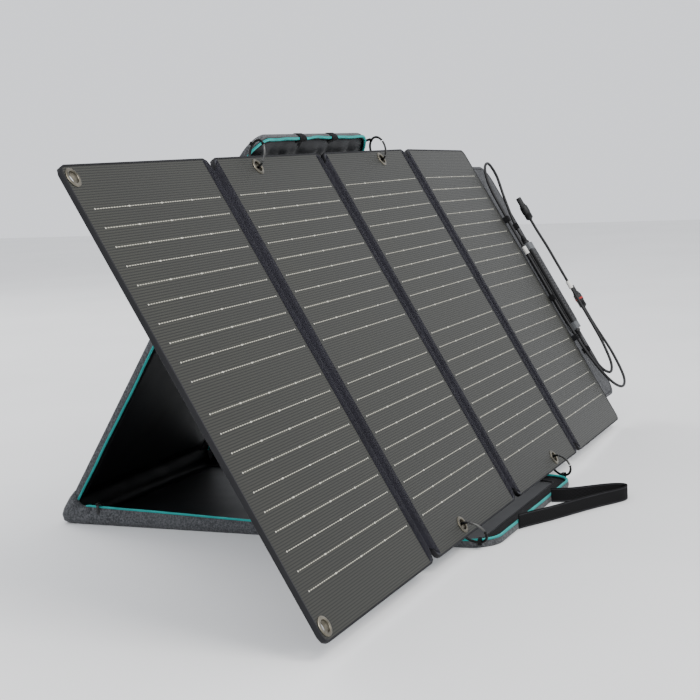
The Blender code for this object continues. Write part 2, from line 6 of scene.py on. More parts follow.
import bmesh
import bpy
from mathutils import Matrix, Vector, noise
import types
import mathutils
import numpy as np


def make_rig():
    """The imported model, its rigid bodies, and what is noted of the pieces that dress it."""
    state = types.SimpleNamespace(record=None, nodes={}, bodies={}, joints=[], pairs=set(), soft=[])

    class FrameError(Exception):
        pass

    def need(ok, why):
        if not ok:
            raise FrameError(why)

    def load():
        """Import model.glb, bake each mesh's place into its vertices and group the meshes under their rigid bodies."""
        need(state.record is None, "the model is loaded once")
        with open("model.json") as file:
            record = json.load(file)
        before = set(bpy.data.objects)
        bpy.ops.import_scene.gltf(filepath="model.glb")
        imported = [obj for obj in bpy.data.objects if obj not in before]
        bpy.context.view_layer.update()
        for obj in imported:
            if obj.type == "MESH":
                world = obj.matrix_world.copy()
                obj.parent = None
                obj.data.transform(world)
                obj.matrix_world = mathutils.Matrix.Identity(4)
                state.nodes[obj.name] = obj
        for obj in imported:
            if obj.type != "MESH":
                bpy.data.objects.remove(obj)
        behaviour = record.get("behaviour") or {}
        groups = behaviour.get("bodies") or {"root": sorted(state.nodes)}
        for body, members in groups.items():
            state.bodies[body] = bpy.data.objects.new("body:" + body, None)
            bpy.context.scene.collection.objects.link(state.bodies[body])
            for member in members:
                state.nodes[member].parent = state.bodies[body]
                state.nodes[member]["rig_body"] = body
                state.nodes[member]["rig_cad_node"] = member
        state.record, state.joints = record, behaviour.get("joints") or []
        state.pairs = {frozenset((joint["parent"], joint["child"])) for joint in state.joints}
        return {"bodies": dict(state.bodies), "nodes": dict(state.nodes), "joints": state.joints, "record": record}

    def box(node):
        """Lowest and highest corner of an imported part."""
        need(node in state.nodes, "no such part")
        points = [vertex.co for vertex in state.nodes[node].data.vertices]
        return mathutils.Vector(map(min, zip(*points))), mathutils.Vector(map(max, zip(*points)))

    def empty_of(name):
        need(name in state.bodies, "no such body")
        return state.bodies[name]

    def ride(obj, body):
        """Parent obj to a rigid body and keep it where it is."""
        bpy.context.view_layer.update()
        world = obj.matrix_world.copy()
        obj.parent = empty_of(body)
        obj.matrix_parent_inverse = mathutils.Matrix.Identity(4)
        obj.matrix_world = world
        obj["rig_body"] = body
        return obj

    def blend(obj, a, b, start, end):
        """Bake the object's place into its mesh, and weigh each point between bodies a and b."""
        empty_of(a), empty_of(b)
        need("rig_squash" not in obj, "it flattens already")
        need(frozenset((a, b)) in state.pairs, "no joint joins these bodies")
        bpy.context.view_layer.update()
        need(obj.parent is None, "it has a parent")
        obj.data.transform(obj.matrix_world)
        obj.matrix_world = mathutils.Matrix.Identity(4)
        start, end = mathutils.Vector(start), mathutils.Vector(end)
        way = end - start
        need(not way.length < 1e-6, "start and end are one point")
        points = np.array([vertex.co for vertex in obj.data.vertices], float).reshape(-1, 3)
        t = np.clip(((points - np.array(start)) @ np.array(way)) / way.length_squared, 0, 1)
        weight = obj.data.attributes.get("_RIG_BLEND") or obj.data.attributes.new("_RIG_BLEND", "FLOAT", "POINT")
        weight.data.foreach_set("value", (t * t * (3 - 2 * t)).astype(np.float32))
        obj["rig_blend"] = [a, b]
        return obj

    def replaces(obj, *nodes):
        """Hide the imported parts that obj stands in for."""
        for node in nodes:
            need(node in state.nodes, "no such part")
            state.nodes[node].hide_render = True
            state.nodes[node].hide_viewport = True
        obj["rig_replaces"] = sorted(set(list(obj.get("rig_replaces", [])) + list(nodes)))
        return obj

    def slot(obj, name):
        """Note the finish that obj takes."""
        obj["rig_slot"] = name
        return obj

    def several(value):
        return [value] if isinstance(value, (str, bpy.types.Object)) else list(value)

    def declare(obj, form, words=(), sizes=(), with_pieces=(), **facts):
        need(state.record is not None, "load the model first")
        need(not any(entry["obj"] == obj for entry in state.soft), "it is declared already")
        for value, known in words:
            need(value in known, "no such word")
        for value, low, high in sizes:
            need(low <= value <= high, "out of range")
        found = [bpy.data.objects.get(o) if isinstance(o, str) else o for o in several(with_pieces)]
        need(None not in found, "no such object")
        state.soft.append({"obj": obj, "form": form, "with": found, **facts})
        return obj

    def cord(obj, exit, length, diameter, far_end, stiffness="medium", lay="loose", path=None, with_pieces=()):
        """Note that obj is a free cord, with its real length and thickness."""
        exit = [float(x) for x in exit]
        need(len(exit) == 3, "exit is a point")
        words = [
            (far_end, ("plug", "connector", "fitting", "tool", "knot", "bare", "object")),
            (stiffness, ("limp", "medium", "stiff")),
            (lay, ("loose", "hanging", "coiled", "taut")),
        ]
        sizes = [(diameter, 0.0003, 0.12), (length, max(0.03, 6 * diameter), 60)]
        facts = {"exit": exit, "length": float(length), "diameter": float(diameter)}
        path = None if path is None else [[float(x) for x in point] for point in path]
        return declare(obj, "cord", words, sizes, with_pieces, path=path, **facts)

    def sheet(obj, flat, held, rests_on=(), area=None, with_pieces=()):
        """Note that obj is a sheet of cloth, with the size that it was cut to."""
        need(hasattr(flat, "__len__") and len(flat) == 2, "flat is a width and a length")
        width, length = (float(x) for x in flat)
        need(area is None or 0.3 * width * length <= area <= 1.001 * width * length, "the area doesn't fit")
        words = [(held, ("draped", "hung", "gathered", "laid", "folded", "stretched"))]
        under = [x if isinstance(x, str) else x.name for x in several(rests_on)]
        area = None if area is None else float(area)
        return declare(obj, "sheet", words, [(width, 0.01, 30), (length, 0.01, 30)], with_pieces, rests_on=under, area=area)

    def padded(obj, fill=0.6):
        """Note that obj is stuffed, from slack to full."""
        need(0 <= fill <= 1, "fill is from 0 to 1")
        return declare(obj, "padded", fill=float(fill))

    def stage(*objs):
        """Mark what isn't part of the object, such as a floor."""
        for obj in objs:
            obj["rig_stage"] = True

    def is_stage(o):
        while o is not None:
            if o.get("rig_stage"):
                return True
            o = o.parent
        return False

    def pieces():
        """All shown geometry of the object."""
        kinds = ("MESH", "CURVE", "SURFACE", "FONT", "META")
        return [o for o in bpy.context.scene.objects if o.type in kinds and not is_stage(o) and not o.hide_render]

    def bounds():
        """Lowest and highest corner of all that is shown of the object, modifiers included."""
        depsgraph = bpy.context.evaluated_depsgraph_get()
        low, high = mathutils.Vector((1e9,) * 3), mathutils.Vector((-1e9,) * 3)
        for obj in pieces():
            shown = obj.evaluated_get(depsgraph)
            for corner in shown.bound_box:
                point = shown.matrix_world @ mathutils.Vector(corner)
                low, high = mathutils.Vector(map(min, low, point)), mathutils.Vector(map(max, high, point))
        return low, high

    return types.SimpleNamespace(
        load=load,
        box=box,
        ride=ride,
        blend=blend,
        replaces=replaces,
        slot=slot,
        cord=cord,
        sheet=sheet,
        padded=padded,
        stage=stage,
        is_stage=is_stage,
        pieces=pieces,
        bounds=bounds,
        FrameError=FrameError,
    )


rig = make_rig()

MM = 0.001

# Design sizes, the same as the CAD's
LEAF_WIDTH = 383 * MM
LEAF_HEIGHT = 680 * MM
LEAF_CORNER = 12 * MM
HINGE_GAP = 15 * MM
LEAF_THICKNESS = 6.6 * MM
PANEL_TILT = math.radians(60.5)
BEND_3_4 = math.radians(-2.5)
CASE_CORNER = 48 * MM
CASE_WALL = 3 * MM
CASE_RIM = 11 * MM
FLAP_ANGLE = math.radians(57.4)
FLAP_OFFSET = 12 * MM
FLAP_START = 17 * MM
FLAP_LENGTH = 749 * MM
FLOOR_LENGTH = 773 * MM
SPINE_Z = 14.4 * MM
SPINE_RADIUS = 14 * MM
WALL_PEAK = 31 * MM
WALL_PEAK_Y = 38 * MM
ZIP_START = 44 * MM
RING_LONG = 23 * MM
RING_SHORT = 14.5 * MM
RING_LEAN = math.radians(25)
RING_TURN = math.radians(20)
RING_SEAT = 1 * MM
EYELET_EDGE = 18.4 * MM
EYELET_SIDE = 134 * MM

# Printed face of a leaf, in the leaf's own frame
CELL_LEFT = 26 * MM
CELL_RIGHT = 359 * MM
LINE_FIRST = 64.7 * MM
LINE_PITCH = 27.97 * MM
LINE_GAP = 18.7 * MM
RIB_PITCH = 3.8 * MM
SIDE_MARGIN = 15 * MM
OUTER_MARGIN = 3 * MM

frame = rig.load()
cad_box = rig.bounds()
nodes = frame["nodes"]

SLOPE = Vector((0, math.cos(PANEL_TILT), math.sin(PANEL_TILT)))
FACING = Vector((0, -math.sin(PANEL_TILT), math.cos(PANEL_TILT)))
CASE_LOW, CASE_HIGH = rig.box("floor_flap_shell")
FRONT_Y = CASE_LOW.y
SPINE_Y = FRONT_Y + FLOOR_LENGTH
CASE_HALF = CASE_HIGH.x


def axes_matrix(origin, x_axis, y_axis):
    x, y = Vector(x_axis).normalized(), Vector(y_axis).normalized()
    return Matrix.Translation(origin) @ Matrix((x, y, x.cross(y))).transposed().to_4x4()


def leaf_frame(number):
    """Frame of a leaf: X across it, Y up its slope, Z out of its face, origin at its lower left corner."""
    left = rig.box("leaf_1_laminate")[0].x
    low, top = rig.box("leaf_2_laminate")
    # the face's upper edge is the laminate's highest line, and its lower edge the front one
    start = Vector((left, low.y, top.z - LEAF_HEIGHT * SLOPE.z))
    pitch = LEAF_WIDTH + HINGE_GAP
    if number < 4:
        return axes_matrix(start + Vector((pitch * (number - 1), 0, 0)), (1, 0, 0), SLOPE)
    middle = FACING * LEAF_THICKNESS / 2
    hinge = start + Vector((pitch * 3 - HINGE_GAP / 2, 0, 0)) - middle
    along = Vector((1, 0, 0)) * math.cos(BEND_3_4) + FACING * math.sin(BEND_3_4)
    facing = FACING * math.cos(BEND_3_4) - Vector((1, 0, 0)) * math.sin(BEND_3_4)
    return axes_matrix(hinge + along * HINGE_GAP / 2 + facing * LEAF_THICKNESS / 2, along, SLOPE)


FLOOR = axes_matrix(Vector((0, SPINE_Y, 0)), (-1, 0, 0), (0, -1, 0))
REAR_UP = Vector((0, -math.cos(FLAP_ANGLE), math.sin(FLAP_ANGLE)))
REAR_OUT = Vector((0, math.sin(FLAP_ANGLE), math.cos(FLAP_ANGLE)))
REAR = axes_matrix(Vector((0, SPINE_Y, SPINE_Z)) + REAR_OUT * FLAP_OFFSET, (1, 0, 0), REAR_UP)


# ---------------------------------------------------------------- materials


class Graph:
    """A short way to write a material's nodes."""

    def __init__(self, name, roughness=0.7, metallic=0.0, **fixed):
        self.material = bpy.data.materials.new(name)
        self.material.use_nodes = True
        self.tree = self.material.node_tree
        self.shader = self.tree.nodes["Principled BSDF"]
        self.shader.inputs["Roughness"].default_value = roughness
        self.shader.inputs["Metallic"].default_value = metallic
        for key, value in fixed.items():
            self.shader.inputs[key.replace("_", " ")].default_value = value

    def node(self, kind, **settings):
        made = self.tree.nodes.new(kind)
        for key, value in settings.items():
            setattr(made, key, value)
        return made

    def link(self, source, target):
        self.tree.links.new(source, target)

    def value(self, target, given):
        if isinstance(given, (int, float)):
            target.default_value = given
        else:
            self.link(given, target)

    def math(self, operation, a, b=0.0, c=0.0):
        made = self.node("ShaderNodeMath", operation=operation)
        for index, given in enumerate((a, b, c)):
            self.value(made.inputs[index], given)
        return made.outputs[0]

    def coords(self, place=None):
        """Object coordinates, in the frame given by place."""
        source = self.node("ShaderNodeTexCoord").outputs["Object"]
        if place is None:
            return source
        mapping = self.node("ShaderNodeMapping", vector_type="TEXTURE")
        location, rotation, _ = place.decompose()
        mapping.inputs["Location"].default_value = location
        mapping.inputs["Rotation"].default_value = rotation.to_euler("XYZ")
        self.link(source, mapping.inputs["Vector"])
        return mapping.outputs[0]

    def noise(self, coords, scale, detail=2.0, rough=0.5):
        made = self.node("ShaderNodeTexNoise")
        made.inputs["Scale"].default_value = scale
        made.inputs["Detail"].default_value = detail
        made.inputs["Roughness"].default_value = rough
        self.link(coords, made.inputs["Vector"])
        return made.outputs["Fac"]

    def ramp(self, factor, stops):
        made = self.node("ShaderNodeValToRGB")
        elements = made.color_ramp.elements
        while len(elements) < len(stops):
            elements.new(0.5)
        for element, (position, colour) in zip(elements, stops):
            element.position = position
            element.color = (*colour, 1)
        self.link(factor, made.inputs["Fac"])
        return made.outputs["Color"]

    def mix(self, factor, first, second):
        made = self.node("ShaderNodeMix", data_type="RGBA")
        self.value(made.inputs[0], factor)
        for socket, given in ((made.inputs[6], first), (made.inputs[7], second)):
            if isinstance(given, tuple):
                socket.default_value = (*given, 1)
            else:
                self.link(given, socket)
        return made.outputs[2]

    def bump(self, height, strength, distance):
        made = self.node("ShaderNodeBump")
        made.inputs["Strength"].default_value = strength
        made.inputs["Distance"].default_value = distance
        self.link(height, made.inputs["Height"])
        self.link(made.outputs[0], self.shader.inputs["Normal"])

    def colour(self, socket):
        self.link(socket, self.shader.inputs["Base Color"])

    def split(self, vector):
        made = self.node("ShaderNodeSeparateXYZ")
        self.link(vector, made.inputs[0])
        return made.outputs

    def wave(self, coordinate, pitch):
        """A sine between 0 and 1 along a coordinate."""
        turned = self.math("MULTIPLY", coordinate, 2 * math.pi / pitch)
        return self.math("MULTIPLY_ADD", self.math("SINE", turned), 0.5, 0.5)


def linear(red, green, blue):
    """An sRGB colour, 0 to 255, as linear values."""
    channels = (red, green, blue)
    return tuple(((c / 255 + 0.055) / 1.055) ** 2.4 if c > 10 else c / 255 / 12.92 for c in channels)


def near(graph, value, centre, half):
    """1 where value lies within half of centre."""
    return graph.math("COMPARE", value, centre, half)


def face_material(number):
    """Ribbed film over dark cells, with painted shade in the rib grooves, printed lines in two groups, and plain side
    margins.
    """
    graph = Graph(f"leaf_{number}_face", roughness=0.5, Specular_IOR_Level=0.25)
    coords = graph.coords(leaf_frame(number))
    x, y, _ = graph.split(coords)
    middle = LEAF_HEIGHT / 2
    from_middle = graph.math("SUBTRACT", y, middle)
    in_x = near(graph, x, (CELL_LEFT + CELL_RIGHT) / 2, (CELL_RIGHT - CELL_LEFT) / 2)
    in_y = near(graph, from_middle, 0, middle - LINE_FIRST + LINE_PITCH / 2)
    cells = graph.math("MULTIPLY", in_x, in_y)
    left = OUTER_MARGIN if number == 1 else SIDE_MARGIN
    right = LEAF_WIDTH - (OUTER_MARGIN if number == 4 else SIDE_MARGIN)
    ribbed = near(graph, x, (left + right) / 2, (right - left) / 2)
    # rows of printed lines, ten above the middle and ten below
    upper = graph.math("GREATER_THAN", y, middle)
    shifted = graph.math("SUBTRACT", y, graph.math("MULTIPLY_ADD", upper, LINE_GAP, LINE_FIRST))
    steps = graph.math("DIVIDE", shifted, LINE_PITCH)
    offset = graph.math("SUBTRACT", steps, graph.math("ROUND", steps))
    distance = graph.math("MULTIPLY", graph.math("ABSOLUTE", offset), LINE_PITCH)
    blank = near(graph, from_middle, 0, LINE_GAP / 2 + MM)
    printed = graph.math("MULTIPLY", cells, graph.math("SUBTRACT", 1.0, blank))
    line = graph.math("MULTIPLY", graph.math("LESS_THAN", distance, 0.6 * MM), printed)
    # seams between the four columns of cells, with a bright node where a line crosses one
    cell_width = (CELL_RIGHT - CELL_LEFT) / 4
    columns = graph.math("DIVIDE", graph.math("SUBTRACT", x, CELL_LEFT), cell_width)
    off_column = graph.math("SUBTRACT", columns, graph.math("ROUND", columns))
    seam = graph.math("MULTIPLY", graph.math("ABSOLUTE", off_column), cell_width)
    on_seam = graph.math("LESS_THAN", seam, 1.8 * MM)
    node = graph.math("MULTIPLY", on_seam, graph.math("LESS_THAN", distance, 1.1 * MM))
    node = graph.math("MULTIPLY", node, printed)
    seam_line = graph.math("MULTIPLY", graph.math("LESS_THAN", seam, 0.7 * MM), cells)
    dash = graph.math("GREATER_THAN", graph.wave(x, 6.5 * MM), 0.3)
    cloud = graph.noise(coords, 3.0, 3)
    fine = graph.noise(coords, 380, 2)
    film = graph.ramp(cloud, [(0.25, linear(42, 42, 36)), (0.75, linear(54, 54, 46))])
    film = graph.mix(graph.math("MULTIPLY", fine, 0.3), film, linear(38, 39, 36))
    rib = graph.math("POWER", graph.wave(y, RIB_PITCH), 2.0)
    # painted shade: the film turns near-black in the rib grooves, where the bump is lowest
    film = graph.mix(graph.math("MULTIPLY", rib, 0.85), film, linear(13, 13, 13))
    margin = graph.ramp(cloud, [(0.2, linear(35, 35, 42)), (0.8, linear(44, 44, 52))])
    colour = graph.mix(ribbed, margin, film)
    colour = graph.mix(graph.math("MULTIPLY", seam_line, 0.3), colour, linear(30, 31, 34))
    line_colour = graph.mix(dash, linear(92, 92, 84), linear(176, 173, 158))
    colour = graph.mix(line, colour, line_colour)
    colour = graph.mix(node, colour, linear(196, 194, 182))
    graph.colour(colour)
    height = graph.math("MULTIPLY", graph.math("SUBTRACT", 1.0, rib), ribbed)
    height = graph.math("ADD", height, graph.math("MULTIPLY", line, 0.3))
    height = graph.math("MULTIPLY_ADD", fine, 0.25, height)
    graph.bump(height, 0.4, 0.45 * MM)
    graph.link(graph.math("MULTIPLY_ADD", cloud, 0.1, 0.42), graph.shader.inputs["Roughness"])
    return graph.material


def woven(name, dark, light, pitch, heather=0.0, roughness=0.88, sheen=0.25):
    """Plain-weave cloth: two crossing sets of threads, with optional flecks of mixed yarn, and a painted highlight on
    the raised thread crossings.
    """
    graph = Graph(name, roughness=roughness, Sheen_Weight=sheen, Sheen_Roughness=0.5, Specular_IOR_Level=0.15)
    coords = graph.coords()
    x, y, z = graph.split(coords)
    warp = graph.wave(graph.math("ADD", x, graph.math("MULTIPLY", z, 0.6)), pitch)
    weft = graph.wave(graph.math("ADD", y, graph.math("MULTIPLY", z, 0.8)), pitch)
    weave = graph.math("MULTIPLY", warp, weft)
    cloud = graph.noise(coords, 9, 3)
    fleck = graph.noise(coords, 0.9 / pitch * 0.5, 4, 0.7)
    base = graph.ramp(cloud, [(0.25, dark), (0.75, light)])
    if heather:
        pale = tuple(min(1.0, c * 2.6 + 0.05) for c in light)
        spots = graph.ramp(fleck, [(0.42, (0, 0, 0)), (0.66, (1, 1, 1))])
        base = graph.mix(graph.math("MULTIPLY", spots, heather), base, pale)
        streak = graph.noise(coords, 1 / pitch, 2)
        streak = graph.math("MULTIPLY", streak, heather * 0.5)
        base = graph.mix(streak, base, tuple(c * 0.4 for c in dark))
    # painted highlight: a lighter tone where the threads cross on top, where the bump is highest
    thread = tuple(min(1, c * 1.9 + 0.01) for c in light)
    base = graph.mix(graph.math("MULTIPLY", weave, 0.25), base, thread)
    graph.colour(base)
    height = graph.math("MULTIPLY_ADD", fleck, 0.6, weave)
    graph.bump(height, 0.5, 0.35 * MM)
    return graph.material


def ribbed_webbing(name, dark, light, place, pitch=1.6 * MM):
    """Webbing: chevron ribs across the strap, with painted shade in the grooves and a painted highlight on the ridges.
    """
    graph = Graph(name, roughness=0.85, Specular_IOR_Level=0.15)
    coords = graph.coords(place)
    x, y, z = graph.split(coords)
    zigzag = graph.math("MULTIPLY", graph.wave(z, 6 * MM), 1.2 * MM)
    slanted = graph.math("ADD", graph.math("ADD", x, y), zigzag)
    rib = graph.wave(slanted, pitch)
    rows = graph.wave(z, 1.1 * MM)
    pattern = graph.math("MULTIPLY_ADD", rows, 0.5, rib)
    # painted shade and highlight: the colour follows the rib height, dark in the grooves and light on the ridges
    graph.colour(graph.ramp(graph.math("MULTIPLY", pattern, 0.66), [(0.2, dark), (0.95, light)]))
    graph.bump(pattern, 0.6, 0.4 * MM)
    return graph.material


def worn_metal(name, dark, light, roughness=0.32):
    """Metal with faint clouds in its colour and a fine grain in its shine."""
    graph = Graph(name, metallic=1.0)
    coords = graph.coords()
    cloud = graph.noise(coords, 60, 4, 0.6)
    fine = graph.noise(coords, 840, 2)
    graph.colour(graph.ramp(cloud, [(0.3, dark), (0.72, light)]))
    graph.link(graph.math("MULTIPLY_ADD", fine, 0.16, roughness - 0.06), graph.shader.inputs["Roughness"])
    graph.bump(fine, 0.12, 0.1 * MM)
    return graph.material


def moulded(name, dark, light, roughness=0.5, grain=900, strength=0.25):
    """Moulded plastic or rubber with a fine surface grain."""
    graph = Graph(name, Specular_IOR_Level=0.4)
    coords = graph.coords()
    cloud = graph.noise(coords, 30, 3)
    fine = graph.noise(coords, grain, 2)
    graph.colour(graph.ramp(cloud, [(0.3, dark), (0.75, light)]))
    graph.link(graph.math("MULTIPLY_ADD", fine, 0.14, roughness - 0.05), graph.shader.inputs["Roughness"])
    graph.bump(fine, strength, 0.12 * MM)
    return graph.material


def coated(name, dark, light, roughness=0.5):
    """Smooth coated cloth: faint creases and a fine grain."""
    graph = Graph(name, Specular_IOR_Level=0.2)
    coords = graph.coords()
    cloud = graph.noise(coords, 14, 3)
    crease = graph.noise(coords, 55, 2, 0.4)
    fine = graph.noise(coords, 1100, 2)
    graph.colour(graph.ramp(cloud, [(0.25, dark), (0.75, light)]))
    graph.link(graph.math("MULTIPLY_ADD", fine, 0.12, roughness - 0.05), graph.shader.inputs["Roughness"])
    graph.bump(graph.math("MULTIPLY_ADD", fine, 0.15, crease), 0.15, 0.5 * MM)
    return graph.material


BLACK, SOFT_BLACK = linear(9, 9, 10), linear(21, 21, 22)
MATERIALS = {
    "grey": woven("heather_cloth", linear(38, 39, 41), linear(64, 65, 67), 1.5 * MM, heather=0.55, sheen=0.1),
    "back": woven("panel_back_cloth", linear(38, 38, 41), linear(56, 57, 60), 1.3 * MM, 0.25, sheen=0.05),
    "lining": coated("black_lining", linear(9, 10, 12), linear(18, 20, 23), 0.5),
    "hinge": coated("hinge_cloth", linear(33, 32, 40), linear(41, 40, 49), 0.55),
    "binding": woven("binding_tape", linear(10, 10, 11), linear(19, 19, 21), 1.0 * MM, sheen=0.0),
    "edge": coated("leaf_edge_tape", linear(17, 17, 19), linear(27, 27, 30), 0.6),
    "teal": woven(
        "zip_tape_cloth", linear(8, 112, 110), linear(20, 152, 148), MM, roughness=0.75, sheen=0.05
    ),
    "teal_coil": moulded("zip_coil", linear(12, 130, 126), linear(40, 176, 170), 0.45, 600),
    "eyelet": worn_metal("eyelet_metal", linear(78, 75, 66), linear(138, 132, 118), 0.36),
    "gunmetal": worn_metal("gunmetal", linear(22, 22, 23), linear(48, 48, 47), 0.36),
    "silver": worn_metal("silver_spring", linear(52, 52, 52), linear(96, 96, 94), 0.32),
    "plastic": moulded("black_plastic", linear(12, 12, 13), linear(24, 24, 26), 0.5),
    "end_cap": moulded("grey_end_cap", linear(66, 68, 70), linear(96, 98, 100), 0.5),
    "cable": moulded("cable_jacket", linear(11, 11, 12), linear(22, 22, 24), 0.5, 700, 0.2),
    "tag": moulded("white_tag", linear(205, 204, 198), linear(232, 231, 226), 0.6),
    "thread": moulded("thread", linear(40, 40, 43), linear(66, 66, 70), 0.8, 1400, 0.5),
    "red": moulded("red_mark", linear(130, 20, 18), linear(166, 32, 26), 0.5),
}
SLOTS = {
    "grey": "case_fabric", "thread": "case_fabric", "lining": "case_lining", "hinge": "hinge_cloth",
    "back": "panel_back", "edge": "panel_back", "binding": "webbing", "teal": "zip_teal",
    "teal_coil": "zip_teal", "eyelet": "eyelet_metal", "gunmetal": "carabiner_metal",
    "silver": "carabiner_metal", "plastic": "black_plastic", "end_cap": "black_plastic",
    "red": "black_plastic", "cable": "cable_jacket", "tag": "tag_white",
}


def give(obj, key):
    """Material by its short name, or a material and the record's slot."""
    material, slot = (MATERIALS[key], SLOTS[key]) if isinstance(key, str) else key
    obj.data.materials.clear()
    obj.data.materials.append(material)
    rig.slot(obj, slot)
    return obj


def repaint(node, key):
    """A better material on a CAD node that keeps its shape."""
    obj = nodes[node]
    material = MATERIALS[key] if isinstance(key, str) else key
    for slot in obj.material_slots:
        slot.link = "DATA"
        slot.material = material
    if not obj.material_slots:
        obj.data.materials.append(material)


# ---------------------------------------------------------------- mesh helpers


def mesh_object(name, bm, key, body, smooth=True):
    bmesh.ops.recalc_face_normals(bm, faces=bm.faces)
    mesh = bpy.data.meshes.new(name)
    bm.to_mesh(mesh)
    bm.free()
    if smooth:
        mesh.shade_smooth()
    obj = bpy.data.objects.new(name, mesh)
    bpy.context.scene.collection.objects.link(obj)
    give(obj, key)
    if body:
        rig.ride(obj, body)
    return obj


def loft(bm, rows):
    """Side faces between neighbouring rings of vertices."""
    size = len(rows[0])
    for first, second in zip(rows, rows[1:]):
        for k in range(size):
            bm.faces.new((first[k], first[(k + 1) % size], second[(k + 1) % size], second[k]))


def cap(bm, rows):
    """End faces on the first and the last ring."""
    bm.faces.new(rows[0])
    bm.faces.new(list(reversed(rows[-1])))


def sweep(bm, path, section, cyclic=False, normal=None, scale=None):
    """A closed section (across, up) carried along a path. Up is the normal, or follows with least twist."""
    count = len(path)
    rows = []
    up = normal.copy() if normal else None
    for index, point in enumerate(path):
        before = path[index - 1] if index or cyclic else path[index]
        after = path[(index + 1) % count] if index < count - 1 or cyclic else path[index]
        along = (after - before).normalized()
        if up is None:
            up = along.orthogonal()
        current = normal if normal else up
        across = along.cross(current).normalized()
        current = across.cross(along).normalized()
        up = current
        grow = scale(index / max(1, count - 1)) if scale else 1
        rows.append([bm.verts.new(point + across * a * grow + current * b * grow) for a, b in section])
    loft(bm, rows + rows[:1] if cyclic else rows)
    if not cyclic:
        cap(bm, rows)


def circle(radius, sides=12, stretch=1.0):
    turns = [2 * math.pi * k / sides for k in range(sides)]
    return [(radius * math.cos(a) * stretch, radius * math.sin(a)) for a in turns]


def swept(name, path, section, key, body, **settings):
    """A piece that is one section carried along one path."""
    bm = bmesh.new()
    sweep(bm, path, section, **settings)
    return mesh_object(name, bm, key, body)


def millimetres(pairs):
    """Pairs of lengths in millimetres, in metres."""
    return [(a * MM, b * MM) for a, b in pairs]


def strap_section(width, thickness):
    """A flat strap's section, with rounded edges."""
    half, radius = width / 2 - thickness / 2, thickness / 2
    points = []
    for side, start in ((1, -90), (-1, 90)):
        for k in range(5):
            angle = math.radians(start + 45 * k)
            points.append((side * half + radius * math.cos(angle), radius * math.sin(angle)))
    return points


def rounded_outline(x0, x1, y0, y1, radii, steps=8):
    corners = ((x0, y0, 1, 1, 180), (x1, y0, -1, 1, 270), (x1, y1, -1, -1, 0), (x0, y1, 1, -1, 90))
    points = []
    for (x, y, sx, sy, start), radius in zip(corners, radii):
        if radius == 0:
            points.append((x, y))
            continue
        for step in range(steps + 1):
            angle = math.radians(start + 90 * step / steps)
            cx, cy = x + sx * radius, y + sy * radius
            points.append((cx + radius * math.cos(angle), cy + radius * math.sin(angle)))
    return points


def densified(path, spacing, cyclic=False):
    """Evenly spaced points along a polyline."""
    ends = list(path) + ([path[0]] if cyclic else [])
    lengths = [(b - a).length for a, b in zip(ends, ends[1:])]
    total = sum(lengths)
    count = max(2, round(total / spacing))
    result, segment, used = [], 0, 0.0
    for k in range(count + (0 if cyclic else 1)):
        target = total * k / count
        while segment < len(lengths) - 1 and used + lengths[segment] < target:
            used += lengths[segment]
            segment += 1
        share = (target - used) / lengths[segment] if lengths[segment] else 0
        result.append(ends[segment].lerp(ends[segment + 1], min(1, share)))
    return result


def smooth_path(points, per_span=8):
    """Points along a Catmull-Rom curve through the given ones."""
    padded = [points[0]] + list(points) + [points[-1]]
    result = []
    for index in range(len(points) - 1):
        p0, p1, p2, p3 = (Vector(padded[index + k]) for k in range(4))
        for step in range(per_span):
            t = step / per_span
            a = 2 * p1 + (p2 - p0) * t
            b = (2 * p0 - 5 * p1 + 4 * p2 - p3) * t * t
            c = (3 * p1 - p0 - 3 * p2 + p3) * t * t * t
            result.append((a + b + c) / 2)
    result.append(Vector(points[-1]))
    return result


def stitches(name, path, normal, key, body, length=2.6 * MM, gap=1.6 * MM, radius=0.42 * MM):
    """A row of sewn stitches: short rounded threads along a path, pressed into the cloth."""
    bm = bmesh.new()
    total = sum((b - a).length for a, b in zip(path, path[1:]))
    count = int(total / (length + gap))
    marks = densified(path, total / (count * 4))
    for k in range(count):
        a, b = marks[min(4 * k, len(marks) - 2)], marks[min(4 * k + 3, len(marks) - 1)]
        along = (b - a).normalized() * length
        middle = (a + b) / 2
        points = [middle - along * 0.5, middle - along * 0.25, middle + along * 0.25, middle + along * 0.5]
        lift = [-0.25, 0.35, 0.35, -0.25]
        sweep(bm, [p + normal * radius * s for p, s in zip(points, lift)], circle(radius, 5), normal=normal)
    return mesh_object(name, bm, key, body)


def turned(name, profile, place, key, body, steps=40):
    """A closed profile of (radius, height) points turned about local Z."""
    bm = bmesh.new()
    rows = []
    for k in range(steps):
        angle = 2 * math.pi * k / steps
        cosine, sine = math.cos(angle), math.sin(angle)
        rows.append([bm.verts.new(place @ Vector((r * cosine, r * sine, h))) for r, h in profile])
    loft(bm, rows + rows[:1])
    bmesh.ops.remove_doubles(bm, verts=bm.verts, dist=1e-6)
    obj = mesh_object(name, bm, key, body)
    obj.data.set_sharp_from_angle(angle=math.radians(40))
    return obj


# ---------------------------------------------------------------- the panel

LEAF_BODY = {1: "leaf_1", 2: "panel_centre", 3: "panel_centre", 4: "leaf_4"}


def leaf_edge_path(number, inset, height):
    """The leaf's outline at an inset and height, and the direction that its face looks in."""
    place = leaf_frame(number)
    right, top = LEAF_WIDTH - inset, LEAF_HEIGHT - inset
    outline = rounded_outline(inset, right, inset, top, [LEAF_CORNER - inset] * 4)
    return [place @ Vector((x, y, height)) for x, y in outline], place.to_3x3() @ Vector((0, 0, 1))


